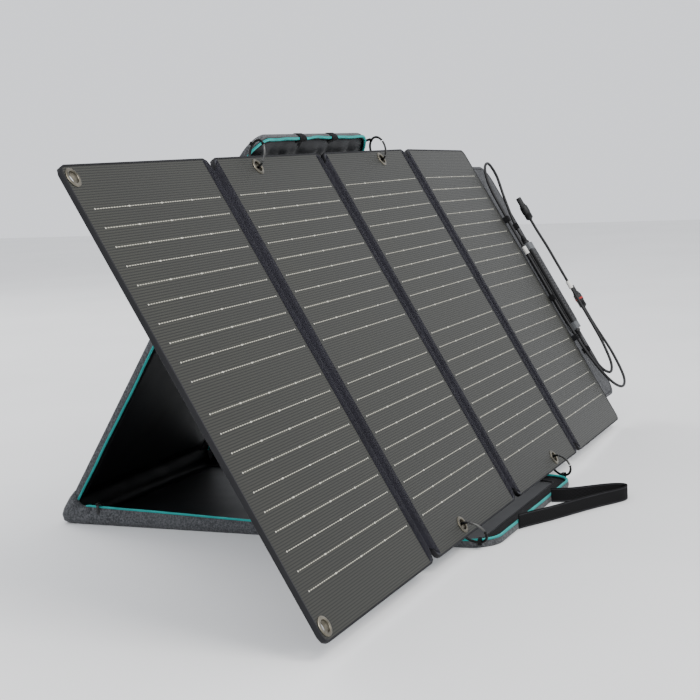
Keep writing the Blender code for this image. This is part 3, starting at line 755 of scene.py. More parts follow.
def dress_leaf(number):
    """Printed face, woven back and a bound edge."""
    body = LEAF_BODY[number]
    repaint(f"leaf_{number}_laminate", face_material(number))
    repaint(f"leaf_{number}_backing_board", "back")
    repaint(f"leaf_{number}_cell_sheet", "binding")
    path, normal = leaf_edge_path(number, -0.2 * MM, -LEAF_THICKNESS / 2)
    deep = LEAF_THICKNESS / 2
    high, low = deep + 0.4 * MM, deep + 0.1 * MM
    section = [
        (-2.2 * MM, low), (-2.2 * MM, high), (0.3 * MM, high), (0.7 * MM, deep), (0.85 * MM, 0),
        (0.7 * MM, -deep), (0.3 * MM, -high), (-2.2 * MM, -high), (-2.2 * MM, -low),
        (0.2 * MM, -low), (0.3 * MM, 0), (0.2 * MM, low),
    ]
    swept(
        f"leaf_{number}_binding", densified(path, 9 * MM, cyclic=True), section, "edge", body,
        cyclic=True, normal=normal,
    )


def dress_hinge(number, first, second):
    """Soft hinge cloth between two leaves: lapped over both margins, sunk in the gap, notched at its ends."""
    place = leaf_frame(number)
    x0 = LEAF_WIDTH
    profile = [
        (-15, 0.2), (-13, 0.75), (-4, 0.95), (-1, 0.95), (0.8, 0.7), (3, -0.4), (5.5, -1.4), (7.5, -1.7),
        (9.5, -1.4), (12, -0.4), (14.2, 0.7), (16, 0.95), (19, 0.95), (28, 0.75), (30, 0.2),
    ]
    rows = 48
    bm = bmesh.new()
    grid = []
    low, high = 4 * MM, LEAF_HEIGHT - 4 * MM
    right = leaf_frame(number + 1)
    for r in range(rows + 1):
        y = low + (high - low) * r / rows
        line = []
        for x, z in profile:
            wobble = noise.noise(Vector((x * 0.06, y * 5, number))) * (0.15 if 0 < x < 15 else 0.03)
            notch = 16 * MM * max(0.0, 1 - abs(x - 7.5) / 20) * abs(2 * r / rows - 1) ** 9
            along = y + notch if r < rows / 2 else y - notch
            here = place @ Vector((x0 + x * MM, along, (z + wobble) * MM))
            if number == 3 and x * MM > HINGE_GAP:
                here = right @ Vector((x * MM - HINGE_GAP, along, (z + wobble) * MM))
            line.append(bm.verts.new(here))
        grid.append(line)
    for lower, upper in zip(grid, grid[1:]):
        for k in range(len(profile) - 1):
            bm.faces.new((lower[k], lower[k + 1], upper[k + 1], upper[k]))
    bmesh.ops.solidify(bm, geom=bm.faces[:], thickness=0.5 * MM)
    same = first == second
    obj = mesh_object(f"hinge_cloth_{number}", bm, "hinge", first if same else None)
    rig.replaces(obj, f"hinge_strip_{number}")
    if not same:
        mid = place @ Vector((x0, LEAF_HEIGHT / 2, 0))
        across = place.to_3x3() @ Vector((1, 0, 0))
        start, end = mid + across * 0.5 * MM, mid + across * (HINGE_GAP - 0.5 * MM)
        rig.blend(obj, first, second, start=start, end=end)
    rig.sheet(obj, flat=(46 * MM, high - low), held="stretched")


def dress_eyelets():
    """Rolled, domed eyelets in place of the plain ones."""
    deep = LEAF_THICKNESS / MM / 2
    profile = [
        (13.6, deep + 0.2), (13.9, deep + 0.6), (13.2, deep + 1.2), (11.4, deep + 1.7), (9.9, deep + 1.7),
        (8.9, deep + 1.0), (8.6, deep - 0.4), (8.6, -deep + 0.4), (9.0, -deep - 1.0), (11.4, -deep - 1.5),
        (13.4, -deep - 1.0), (13.7, -deep - 0.2), (9.3, -deep - 0.2), (9.3, deep + 0.2),
    ]
    profile = millimetres(profile)
    for number in range(1, 7):
        body = "leaf_1" if number < 3 else "panel_centre"
        low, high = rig.box(f"eyelet_{number}")
        place = axes_matrix((low + high) / 2, (1, 0, 0), SLOPE)
        eyelet = turned(f"rolled_eyelet_{number}", profile, place, "eyelet", body)
        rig.replaces(eyelet, f"eyelet_{number}")


# ---------------------------------------------------------------- carabiners


def ring_frame(leaf, upper):
    """A clip's frame: X along its length, Y towards its gate, leaning out of its eyelet."""
    sign = 1 if upper else -1
    x = EYELET_SIDE if leaf == 2 else LEAF_WIDTH - EYELET_SIDE
    y = LEAF_HEIGHT - EYELET_EDGE if upper else EYELET_EDGE
    place = leaf_frame(leaf) @ Matrix.Translation((x, y, -LEAF_THICKNESS / 2))
    cosine, sine = math.cos(RING_LEAN), math.sin(RING_LEAN)
    long_axis, gate_side = Vector((0, sign * cosine, sine)), Vector((0, -sign * sine, cosine))
    rotation = Matrix((long_axis, gate_side, long_axis.cross(gate_side))).transposed().to_4x4()
    inwards = (1 if leaf == 3 else -1) * sign * RING_TURN
    seat = Matrix.Translation((RING_LONG - RING_SEAT, 0, 0))
    return place @ Matrix.Rotation(inwards, 4, "Z") @ rotation @ seat


def ring_path(place, start, end, steps):
    """Points along the clip's oval, from one angle to another."""
    points = []
    for k in range(steps + 1):
        angle = math.radians(start + (end - start) * k / steps)
        points.append(place @ Vector((RING_LONG * math.cos(angle), RING_SHORT * math.sin(angle), 0)))
    return points


def hook_taper(t):
    """The hook's thickness along its length: thinner at both ends."""
    return 0.8 + 0.2 * min(1, 9 * t, 9 * (1 - t))


def dress_carabiners():
    """Four clips, each a hook, and a sprung gate that turns on a pin."""
    spots = [(leaf, upper) for leaf in (2, 3) for upper in (True, False)]
    for number, (leaf, upper) in enumerate(spots, 1):
        place = ring_frame(leaf, upper)
        normal = place.to_3x3() @ Vector((0, 0, 1))
        bm = bmesh.new()
        sweep(bm, ring_path(place, 132, 408, 90), circle(2.2 * MM, 14), normal=normal, scale=hook_taper)
        sweep(bm, ring_path(place, 405, 408, 2), circle(2.6 * MM, 14), normal=normal)
        hook = mesh_object(f"clip_{number}_hook", bm, "gunmetal", "panel_centre")
        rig.replaces(hook, f"carabiner_{number}_hook")
        gate_body = f"carabiner_{number}_gate"
        gate = swept(
            f"clip_{number}_gate", ring_path(place, 54, 126, 24), circle(1.9 * MM, 12), "silver", gate_body,
            normal=normal,
        )
        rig.replaces(gate, gate_body)
        bm = bmesh.new()
        sweep(bm, ring_path(place, 122, 129, 3), circle(0.8 * MM, 10), normal=normal)
        pin_at = ring_path(place, 126, 126, 1)[0]
        sweep(bm, [pin_at - normal * 2.3 * MM, pin_at + normal * 2.3 * MM], circle(0.7 * MM, 12))
        mesh_object(f"clip_{number}_gate_pin", bm, "silver", gate_body)


# ---------------------------------------------------------------- the case


def wall_rise(y, length):
    """How far the floor flap's soft side wall stands above the rim, at this distance from the spine."""
    end = length - CASE_CORNER
    if y <= WALL_PEAK_Y:
        t = max(0, (y - FLAP_START) / (WALL_PEAK_Y - FLAP_START))
        return (WALL_PEAK - CASE_RIM) * (1 - (1 - t) ** 2)
    return (WALL_PEAK - CASE_RIM) * max(0, (end - y) / (end - WALL_PEAK_Y))


def u_outline(half, start, length, corner):
    """The three open sides of a flap, from one end of the spine to the other."""
    outline = rounded_outline(-half, half, start, length, [0, 0, corner, corner], 12)
    flat = [Vector((x, y, 0)) for x, y in outline[1:] + outline[:1]]
    return densified(flat, 7 * MM)


def placed(place, points, height, ruffle=0.0, seed=0.0, top=None):
    """Points set at a height over the flap, with a soft waviness that grows along its top edge."""
    result = []
    for p in points:
        size = ruffle * (2.4 if top and p.y > top - 30 * MM else 1)
        wave = noise.noise(Vector((p.x * 14, p.y * 14, seed)))
        other = noise.noise(Vector((p.x * 17, p.y * 17, seed + 9)))
        result.append(place @ Vector((p.x + other * size * 0.4, p.y + other * size, height(p) + wave * size)))
    return result


def wall_mesh(name, place, points, height, inner, outer, low, key, body, bulge=0.0):
    """A soft upright wall: a closed section that grows with the height, fuller outside near the spine."""
    bm = bmesh.new()
    rows = []
    count = len(points)
    for index, p in enumerate(points):
        before, after = points[max(0, index - 1)], points[min(count - 1, index + 1)]
        along = (after - before).normalized()
        out = Vector((along.y, -along.x, 0))
        top = height(p)
        full = bulge * (top - CASE_RIM) / (WALL_PEAK - CASE_RIM)
        wobble = noise.noise(Vector((p.x * 16, p.y * 16, 4.0))) * 0.9 * MM
        ring = []
        for k in range(9):
            t = k / 8
            swell = (full + wobble) * math.sin(math.pi * min(1, t * 1.25))
            side = outer + swell + 0.8 * MM * math.sin(math.pi * t)
            ring.append(place @ (p + out * side + Vector((0, 0, low + (top - low) * t))))
        for k in range(8, -1, -1):
            t = k / 8
            side = -inner + wobble * 0.5 * math.sin(math.pi * t)
            ring.append(place @ (p + out * side + Vector((0, 0, low + (top - low) * t))))
        rows.append([bm.verts.new(v) for v in ring])
    loft(bm, rows)
    cap(bm, rows)
    return mesh_object(name, bm, key, body)


def coil_pulse(count):
    """Every second ring of the zip's coil is thinner, so that it looks toothed."""
    return lambda t: 0.7 if round(t * (count - 1)) % 2 else 1.15


def dress_flap(label, place, length, body):
    """Soft shell with puffed walls, a padded lining, the zip's tape and coil, binding and stitching."""
    normal = place.to_3x3() @ Vector((0, 0, 1))
    floor_side = label == "floor"
    repaint(f"{label}_flap_shell", "grey")
    half = CASE_HALF - CASE_WALL
    pad_length = length - CASE_WALL
    pad = puffed_flap(f"{label}_lining_pad", place, pad_length, FLAP_START, not floor_side, body)
    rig.padded(pad, fill=0.3)
    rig.replaces(pad, f"{label}_flap_lining")

    def height(p):
        return CASE_RIM + (wall_rise(p.y, length) if floor_side else 0)

    middle = CASE_WALL / 2
    edge = u_outline(CASE_HALF - middle, FLAP_START + MM, length - middle, CASE_CORNER - middle)
    bulge = 7 * MM if floor_side else 0
    wall_mesh(f"{label}_outer_wall", place, edge, height, 0.8 * MM, 2.2 * MM, 0.6 * MM, "grey", body, bulge)
    wall_mesh(f"{label}_inner_wall", place, edge, height, 2.6 * MM, -0.9 * MM, 4 * MM, "lining", body)
    ruffle = 0.4 * MM if floor_side else 1.6 * MM
    tape = [p for p in edge if p.y > ZIP_START - 22 * MM]
    raised = placed(place, tape, lambda p: height(p) + 1.1 * MM, ruffle, 2.0, None if floor_side else length)
    zip_tape = swept(
        f"{label}_zip_cloth", raised, strap_section(5.4 * MM, 2.6 * MM), "teal", body,
        normal=normal,
    )
    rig.replaces(zip_tape, f"{label}_zip_tape")
    coil = densified([p + normal * 1.4 * MM for p in raised], 1.1 * MM)
    swept(
        f"{label}_zip_coil", coil, circle(0.85 * MM, 6, 1.6), "teal_coil", body,
        normal=normal, scale=coil_pulse(len(coil)),
    )
    # a wide binding band lies on the lining beside the wall
    lane = u_outline(half - 14 * MM, FLAP_START + 8 * MM, pad_length - 14 * MM, CASE_CORNER - 16 * MM)
    bm = bmesh.new()
    band = placed(place, lane, lambda p: 7.4 * MM, 0.4 * MM, 6.0)
    sweep(bm, band, strap_section(24 * MM, 1.2 * MM), normal=normal)
    mesh_object(f"{label}_inner_binding", bm, "binding", body)
    for step, inset in enumerate((5 * MM, 23 * MM)):
        corner = CASE_CORNER - 4 * MM - inset
        row = u_outline(half - inset, FLAP_START + 10 * MM, pad_length - inset, max(corner, 12 * MM))
        row = placed(place, row, lambda p: 8.3 * MM)
        stitches(f"{label}_binding_stitching_{step}", row, normal, "thread", body)
    if not floor_side:
        outer = u_outline(CASE_HALF - 9 * MM, FLAP_START + 12 * MM, length - 9 * MM, CASE_CORNER - 8 * MM)
        stitches("rear_outer_stitching", placed(place, outer, lambda p: -1.2 * MM), -normal, "thread", body)
        outer_cloth(place, length, body)


def flap_grid(place, half, start, length, height, columns=48, rows=72):
    """A rounded flap's surface as a grid of points with a height for each."""
    grid = []
    for r in range(rows + 1):
        y = start + (length - start) * r / rows
        reach = length - y
        pinch = CASE_CORNER - math.sqrt(max(0, CASE_CORNER**2 - max(0, CASE_CORNER - reach) ** 2))
        line = []
        for c in range(columns + 1):
            u = 2 * c / columns - 1
            x = u * (half - pinch)
            edge = min(1, (1 - abs(u)) * 9, (length - y) * 40, (y - start) * 40 + 0.15)
            line.append(place @ Vector((x, y, height(x, y, math.sqrt(max(0, edge))))))
        grid.append(line)
    return grid


def closed_sheet(name, upper, lower, key, body):
    """Two grids of points closed into one body round the edge."""
    bm = bmesh.new()
    grids = [[[bm.verts.new(p) for p in line] for line in grid] for grid in (upper, lower)]
    rows, columns = len(upper) - 1, len(upper[0]) - 1
    for grid in grids:
        for r in range(rows):
            for c in range(columns):
                bm.faces.new((grid[r][c], grid[r][c + 1], grid[r + 1][c + 1], grid[r + 1][c]))
    rim = [(0, c) for c in range(columns + 1)] + [(r, columns) for r in range(1, rows + 1)]
    rim += [(rows, c) for c in range(columns - 1, -1, -1)] + [(r, 0) for r in range(rows - 1, 0, -1)]
    top, bottom = grids
    for (r0, c0), (r1, c1) in zip(rim, rim[1:] + rim[:1]):
        bm.faces.new((bottom[r0][c0], bottom[r1][c1], top[r1][c1], top[r0][c0]))
    return mesh_object(name, bm, key, body)


def rumple(x, y, across, along, seed):
    """Noise between -1 and 1 over a surface, with its own fineness each way."""
    return noise.noise(Vector((x * across, y * along, seed)))


def puffed_flap(name, place, length, start, gathered, body):
    """The padded lining: softly rumpled, and gathered into folds past the panel's edge on the rear flap."""
    half = CASE_HALF - CASE_WALL - 0.6 * MM

    def top(x, y, crown):
        soft = rumple(x, y, 7, 6, 3.7) * 1.3 + rumple(x, y, 26, 24, 3.7) * 0.4
        height = 5.6 + (0.7 + soft * 0.8) * crown
        fold = max(0.0, 1 - (length - y) / (58 * MM)) if gathered else 0.0
        if fold:
            ruffle = rumple(x, y, 30, 9, 1.0) * 3.4 + rumple(x, y, 74, 16, 2.0) * 1.5
            height += min(1, fold * 2.2) * crown * (7.4 + ruffle * 1.5)
        return height * MM

    upper = flap_grid(place, half, start, length, top)
    lower = flap_grid(place, half, start, length, lambda x, y, crown: 3.9 * MM)
    return closed_sheet(name, upper, lower, "lining", body)


def outer_cloth(place, length, body):
    """The rear flap's outer cloth, slightly padded."""

    def under(x, y, crown):
        soft = rumple(x, y, 6, 5, 8.0) * 0.6 + rumple(x, y, 30, 26, 8.0) * 0.3
        return -(0.5 + max(0.0, soft + 0.6) * 0.7 * crown) * MM

    size = (CASE_HALF - 1 * MM, FLAP_START + 2 * MM, length - 1 * MM)
    upper = flap_grid(place, *size, lambda x, y, crown: 0.8 * MM)
    lower = flap_grid(place, *size, under)
    closed_sheet("rear_outer_cloth", upper, lower, "grey", body)


def dress_spine():
    """Folded cloth at the spine, gathered along its length, and the webs that join the two flaps."""
    columns, around = 90, 32
    half = CASE_HALF + 3 * MM
    bm = bmesh.new()
    rings = []
    for c in range(columns + 1):
        u = 2 * c / columns - 1
        x = half * (math.copysign(1 - (1 - abs(u)) ** 1.6, u))
        close = math.sqrt(max(0.0, 1 - max(0.0, (abs(x) - half + 12 * MM) / (12 * MM)) ** 2)) * 0.75 + 0.25
        ring = []
        for k in range(around):
            angle = 2 * math.pi * k / around
            crumple = noise.noise(Vector((x * 26, math.cos(angle) * 1.3, math.sin(angle) * 1.3)))
            crumple += 0.4 * noise.noise(Vector((x * 90, math.cos(angle) * 2.5, math.sin(angle) * 2.5)))
            radius = (SPINE_RADIUS + (0.2 + crumple * 1.3) * MM) * close
            y, z = radius * math.cos(angle), radius * math.sin(angle)
            ring.append(bm.verts.new((x, SPINE_Y + y, max(0.5 * MM, SPINE_Z + z))))
        rings.append(ring)
    loft(bm, rings)
    cap(bm, rings)
    fold = mesh_object("spine_cloth", bm, "grey", "base")
    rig.replaces(fold, "spine_fold")
    centre = Vector((0, SPINE_Y, SPINE_Z))
    arc = SPINE_RADIUS + 1.4 * MM
    turn = 90 - math.degrees(FLAP_ANGLE)
    angles = [math.radians(a) for a in range(-100, int(turn), 12)]
    outer = [centre + Vector((0, math.cos(a), math.sin(a))) * arc for a in angles]
    outer += [REAR @ Vector((0, y * MM, -1.6 * MM)) for y in (2, 10, 18, 26, 34)]
    outer = [Vector((0, SPINE_Y - 26 * MM, 0.5 * MM)), Vector((0, SPINE_Y - 14 * MM, 0.5 * MM))] + outer
    spine_web("outer_web", outer, "grey", 0.4)
    rising = ((36, 6.4), (27, 6.8), (20, 9.5), (16.6, 16), (15.6, 24))
    inner = [Vector((0, SPINE_Y - y * MM, z * MM)) for y, z in rising]
    inner += [REAR @ Vector((0, y * MM, z * MM)) for y, z in ((28, 6.9), (36, 6.6), (46, 6.4))]
    spine_web("inner_web", inner, "lining", 0.8)
    for side in (-1, 1):
        spine_gusset(side)


def turn_with_rear(obj, start, end):
    """Cloth that joins the floor flap to the rear flap, and folds as the rear flap turns."""
    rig.blend(obj, "base", "rear_flap", start=start, end=end)


def spine_web(name, points, key, soft):
    """Cloth over the spine from one flap to the other, with lengthwise wrinkles."""
    profile = smooth_path(points, 3)
    columns = 70
    half = CASE_HALF - 1.2 * MM
    bm = bmesh.new()
    lines = []
    for c in range(columns + 1):
        x = half * (2 * c / columns - 1)
        line = []
        for k, point in enumerate(profile):
            away = noise.noise(Vector((x * 20, k * 0.22, 5.0))) * soft * MM
            away *= min(1, k / 4, (len(profile) - 1 - k) / 4)
            line.append(bm.verts.new((x, point.y - away, max(point.z + away, 0.5 * MM))))
        lines.append(line)
    for first, second in zip(lines, lines[1:]):
        for k in range(len(profile) - 1):
            bm.faces.new((first[k], first[k + 1], second[k + 1], second[k]))
    bmesh.ops.solidify(bm, geom=bm.faces[:], thickness=0.6 * MM)
    web = mesh_object(f"spine_{name}", bm, key, None)
    along = sum((b - a).length for a, b in zip(profile, profile[1:]))
    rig.sheet(web, flat=(2 * half, along), held="gathered")
    turn_with_rear(web, Vector((0, SPINE_Y - 6 * MM, 6 * MM)), REAR @ Vector((0, 24 * MM, 4 * MM)))


def spine_gusset(side):
    """The puffed triangle of cloth that closes the case's corner between the two flaps."""
    outline = [
        (-46, 0.7), (-20, 0.6), (4, 0.6), (14, 4), (17, 15), (12, 27),
        (-1, 46), (-14, 60), (-18, 52), (-19, 40), (-26, 33), (-46, 31),
    ]
    ring = densified([Vector((0, y * MM, z * MM)) for y, z in outline], 4 * MM, cyclic=True)
    middle = Vector((0, -8 * MM, 19 * MM))
    layers = 7
    inner_rings = []
    bm = bmesh.new()
    for face in (1, 0):
        rows = []
        for k in range(layers + 1):
            share = k / layers
            row = []
            for p in ring:
                q = middle + (p - middle) * share
                puff = 8.5 * MM * math.sqrt(1 - share**2.4) + noise.noise(q * 60) * 1.5 * MM * (1 - share)
                x = CASE_HALF + (puff if face else -2 * MM)
                row.append(bm.verts.new((side * x, SPINE_Y + q.y, q.z)))
            rows.append(row)
        loft(bm, rows)
        inner_rings.append(rows[-1])
    loft(bm, inner_rings)
    bmesh.ops.remove_doubles(bm, verts=bm.verts, dist=1e-6)
    name = "left" if side < 0 else "right"
    gusset = mesh_object(f"spine_gusset_{name}", bm, "grey", None)
    x = side * CASE_HALF
    turn_with_rear(gusset, Vector((x, SPINE_Y - 12 * MM, 14 * MM)), REAR @ Vector((x, 42 * MM, 4 * MM)))


def webbing_loop(name, path, normal, width, thickness, key, body, replaced=None):
    obj = swept(name, path, strap_section(width, thickness), key, body, normal=normal)
    if replaced:
        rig.replaces(obj, replaced)
    return obj


# Centre lines of the webbing handles, in millimetres
FRONT_HANDLE = [
    (-110, -2), (-66, -26), (-4, -58), (66, -94), (116, -122), (140, -118),
    (140, -100), (114, -62), (86, -24), (80, -2),
]
REAR_HANDLE = [
    (-65, 30), (-65, -40), (-62, -90), (-50, -118), (-22, -132),
    (22, -132), (50, -118), (62, -90), (65, -40), (65, 30),
]


def dress_handles():
    low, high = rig.box("front_handle")
    z = (low.z + high.z) / 2
    width = high.z - low.z
    webbing = (ribbed_webbing("webbing_on_edge", BLACK, SOFT_BLACK, None), "webbing")
    points = smooth_path([Vector((x * MM, FRONT_Y - 0.3 * MM + y * MM, z)) for x, y in FRONT_HANDLE], 9)
    leaned = []
    for k, p in enumerate(points):
        leaned.append(p + Vector((0, 0, 0.3 * MM * math.sin(k * 0.35))))
    bm = bmesh.new()
    upright = [(b, a) for a, b in strap_section(width, 2.2 * MM)]
    sweep(bm, leaned, upright, normal=Vector((0, 0, 1)))
    obj = mesh_object("front_handle_webbing", bm, webbing, "front_handle")
    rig.replaces(obj, "front_handle")
    for edge in (-1, 1):
        row = [p + Vector((0, 0, edge * (width / 2 - 2.4 * MM))) for p in leaned]
        rim_name = f"front_handle_edge_{'low' if edge < 0 else 'high'}"
        oval = [(a, b * 0.5) for a, b in circle(1.35 * MM, 8)]
        swept(rim_name, row, oval, "thread", "front_handle", normal=Vector((0, 0, 1)))
    place = REAR @ Matrix.Translation((0, FLAP_LENGTH - 40 * MM, 0))
    normal = place.to_3x3() @ Vector((0, 0, 1))
    flat = (ribbed_webbing("webbing_flat", BLACK, SOFT_BLACK, REAR), "webbing")
    path = smooth_path([place @ Vector((x * MM, y * MM, -1.6 * MM)) for x, y in REAR_HANDLE], 9)
    webbing_loop("rear_handle_webbing", path, normal, 25 * MM, 2.2 * MM, flat, "rear_flap", "rear_handle")
    # the handle's two ends run on over the top edge and down inside
    for side in (-1, 1):
        x = side * 65 * MM
        rim = FLAP_LENGTH
        over = [
            (rim - 14 * MM, -1.9), (rim - 3 * MM, -1.9), (rim + 1.6 * MM, 1.5), (rim + 2.2 * MM, 6),
            (rim + 1.8 * MM, 12), (rim - 1.5 * MM, 15.6), (rim - 6 * MM, 13.2), (rim - 9 * MM, 9.4),
            (rim - 30 * MM, 9.2),
        ]
        line = smooth_path([REAR @ Vector((x, y, z * MM)) for y, z in over], 6)
        bm = bmesh.new()
        section = [(b, a) for a, b in strap_section(25 * MM, 1.6 * MM)]
        sweep(bm, line, section, normal=Vector((1, 0, 0)))
        mesh_object(f"rear_handle_end_{'left' if side < 0 else 'right'}", bm, flat, "rear_flap")


def dress_corner_loops():
    material = (ribbed_webbing("corner_webbing", BLACK, SOFT_BLACK, None, 1.1 * MM), "webbing")
    for number in (1, 2, 3, 4):
        repaint(f"corner_loop_{number}", material[0])


def dress_zip_slider():
    low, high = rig.box("zip_slider")
    centre = (low + high) / 2
    bm = bmesh.new()
    size = high - low
    path = [centre + Vector((0, t * size.y, 0)) for t in (-0.5, -0.42, -0.2, 0, 0.25, 0.44, 0.5)]
    widths = [0.55, 0.8, 1.0, 0.86, 0.9, 0.7, 0.45]
    turns = [2 * math.pi * k / 16 for k in range(16)]
    section = []
    for cosine, sine in ((math.cos(a), math.sin(a)) for a in turns):
        across = size.x / 2 * math.copysign(abs(cosine) ** 0.5, cosine)
        section.append((across, size.z / 2 * math.copysign(abs(sine) ** 0.5, sine)))
    sweep(bm, path, section, normal=Vector((0, 0, 1)), scale=lambda t: widths[round(t * 6)])
    body = mesh_object("slider_body", bm, "gunmetal", "zip_slider")
    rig.replaces(body, "zip_slider")
    bridge = []
    for t in (k / 8 for k in range(9)):
        lift = size.z / 2 + 1.4 * MM * math.sin(math.pi * t)
        bridge.append(centre + Vector((0, (t - 0.5) * 9 * MM, lift)))
    swept("slider_bridge", bridge, circle(0.7 * MM, 8), "gunmetal", "zip_slider", normal=Vector((1, 0, 0)))
    low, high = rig.box("zip_pull")
    x, y = (low.x + high.x) / 2, (low.y + high.y) / 2
    bm = bmesh.new()
    middle = high.z - 1.5 * MM
    eye = [Vector((x, y + 2.2 * MM * math.cos(a), middle + 2.4 * MM * math.sin(a))) for a in turns]
    sweep(bm, eye, circle(0.55 * MM, 8), cyclic=True, normal=Vector((1, 0, 0)))
    tongue = [Vector((x, y, z)) for z in (high.z - 3 * MM, high.z - 6 * MM, low.z + 4 * MM, low.z + 0.6 * MM)]
    sweep(bm, tongue, strap_section(5.4 * MM, 1.7 * MM), normal=Vector((1, 0, 0)))
    pull = mesh_object("pull_tab", bm, "plastic", "zip_pull")
    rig.replaces(pull, "zip_pull")


# ---------------------------------------------------------------- cable flap and leads

# Centre lines of the leads over the cable flap, in millimetres
LEAD_RADIUS = 3 * MM
LEAD_A = [
    (44, 452, 10), (46, 490, 10), (60, 552, 16), (66, 602, 24), (48, 632, 26), (22, 622, 20),
    (12, 580, 12), (10, 500, 10), (10, 380, 10), (10, 250, 10), (12, 150, 14), (28, 84, 22),
    (62, 56, 30), (98, 72, 36), (115, 130, 37), (117, 190, 34), (117, 220, 33), (117, 250, 33),
]
LEAD_B = [
    (44, 198, 10), (46, 150, 10), (54, 112, 14), (71, 96, 22), (87, 114, 30), (96, 160, 34),
    (97, 200, 35), (97, 250, 35), (97, 360, 35), (97, 410, 35), (95, 450, 34), (94, 480, 34),
]
FLAP_WIDTH, FLAP_LOW, FLAP_HIGH, FLAP_ROUND = 108, 52, 640, 40
BOX_X, BOX_Y, BOX_WIDTH, BOX_LENGTH, BOX_BASE, BOX_LID = 44, 325, 34, 220, 12, 7


def soft_block(bm, place, centre, size, radius):
    """A box with well-rounded edges, at a centre in millimetres."""
    made = bmesh.ops.create_cube(bm, size=1)["verts"]
    bmesh.ops.scale(bm, vec=Vector(size) * MM, verts=made)
    edges = list({e for v in made for e in v.link_edges})
    result = bmesh.ops.bevel(
        bm, geom=edges + made, offset=radius * MM, segments=4, profile=0.6, affect="EDGES"
    )
    verts = list({v for f in result["faces"] for v in f.verts} | {v for v in made if v.is_valid})
    bmesh.ops.transform(bm, matrix=place @ Matrix.Translation(Vector(centre) * MM), verts=verts)


def cable_flap_outline(left, inset, corner):
    """The cable flap's outline, set in from its free edges, in millimetres."""
    right, low, high = FLAP_WIDTH - inset, FLAP_LOW + inset, FLAP_HIGH - inset
    return rounded_outline(left, right, low, high, [0, corner, corner, 0])


def dress_cables():
    place = leaf_frame(4) @ Matrix.Translation((LEAF_WIDTH + 0.3 * MM, 0, -LEAF_THICKNESS / 2))
    normal = place.to_3x3() @ Vector((0, 0, 1))

    def at(x, y, z=10.0):
        return place @ Vector((x * MM, y * MM, z * MM))

    cable_cloth(at)
    edge = cable_flap_outline(2, 3, FLAP_ROUND - 3)
    hem = densified([at(x, y, -0.4) for x, y in edge], 9 * MM, cyclic=True)
    swept(
        "cable_flap_hem", hem, strap_section(6 * MM, 2.6 * MM), "grey", "cable_flap",
        cyclic=True, normal=normal,
    )
    inset = cable_flap_outline(5, 7, FLAP_ROUND - 6)
    row = [at(x, y, 1.1) for x, y in inset]
    stitches("cable_flap_stitching", row + row[:1], normal, "thread", "cable_flap")
    pieces = dress_connectors(place)
    for name, route in (("positive", LEAD_A), ("negative", LEAD_B)):
        line = smooth_path([at(*p) for p in route], 10)
        lead = swept(f"{name}_lead", line, circle(LEAD_RADIUS, 14), "cable", "cable_flap", normal=normal)
        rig.replaces(lead, f"lead_{name}")
        length = sum((b - a).length for a, b in zip(line, line[1:]))
        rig.cord(
            lead, exit=line[0], length=length, diameter=2 * LEAD_RADIUS, far_end="connector",
            stiffness="medium", lay="loose", path=line, with_pieces=pieces[name],
        )
    keepers = ((10, 500, 18), (10, 300, 18), (10, 200, 18), (46, 480, 22), (46, 165, 22))
    for index, (x, y, width) in enumerate(keepers):
        arch = []
        for t in (k / 16 for k in range(17)):
            arch.append(at(x + (t - 0.5) * width, y, 0.6 + 13.4 * min(1, 6 * t, 6 * (1 - t))))
        bm = bmesh.new()
        flat = millimetres([(-6, -0.5), (6, -0.5), (6.3, 0), (6, 0.5), (-6, 0.5), (-6.3, 0)])
        keeper_sweep(bm, arch, flat, place.to_3x3() @ Vector((0, 1, 0)))
        mesh_object(f"cable_keeper_{index + 1}", bm, "binding", "cable_flap")
    dress_junction_box(place, at, normal)


def keeper_sweep(bm, path, section, side):
    """A strip whose width always lies along one direction."""
    rows = []
    for index, point in enumerate(path):
        along = (path[min(index + 1, len(path) - 1)] - path[max(index - 1, 0)]).normalized()
        up = side.cross(along).normalized()
        rows.append([bm.verts.new(point + side * a + up * b) for a, b in section])
    loft(bm, rows)
    cap(bm, rows)


def cable_cloth(at):
    """The cable flap's cloth, gently rumpled."""
    columns, rows = 24, 90
    corner = FLAP_ROUND

    def grid(height):
        lines = []
        for r in range(rows + 1):
            y = FLAP_LOW + (FLAP_HIGH - FLAP_LOW) * r / rows
            short = max(0.0, FLAP_LOW + corner - y, y - FLAP_HIGH + corner)
            width = FLAP_WIDTH - corner + math.sqrt(max(0.0, corner**2 - short**2))
            line = []
            for c in range(columns + 1):
                x = width * c / columns
                rumple = noise.noise(Vector((x * 0.03, y * 0.018, 2.0))) * min(1, x / 20)
                line.append(at(x, y, height + rumple * 0.9))
            lines.append(line)
        return lines

    flap = closed_sheet("cable_flap_cloth", grid(0.2), grid(-1.5), "grey", "cable_flap")
    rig.replaces(flap, "cable_flap")


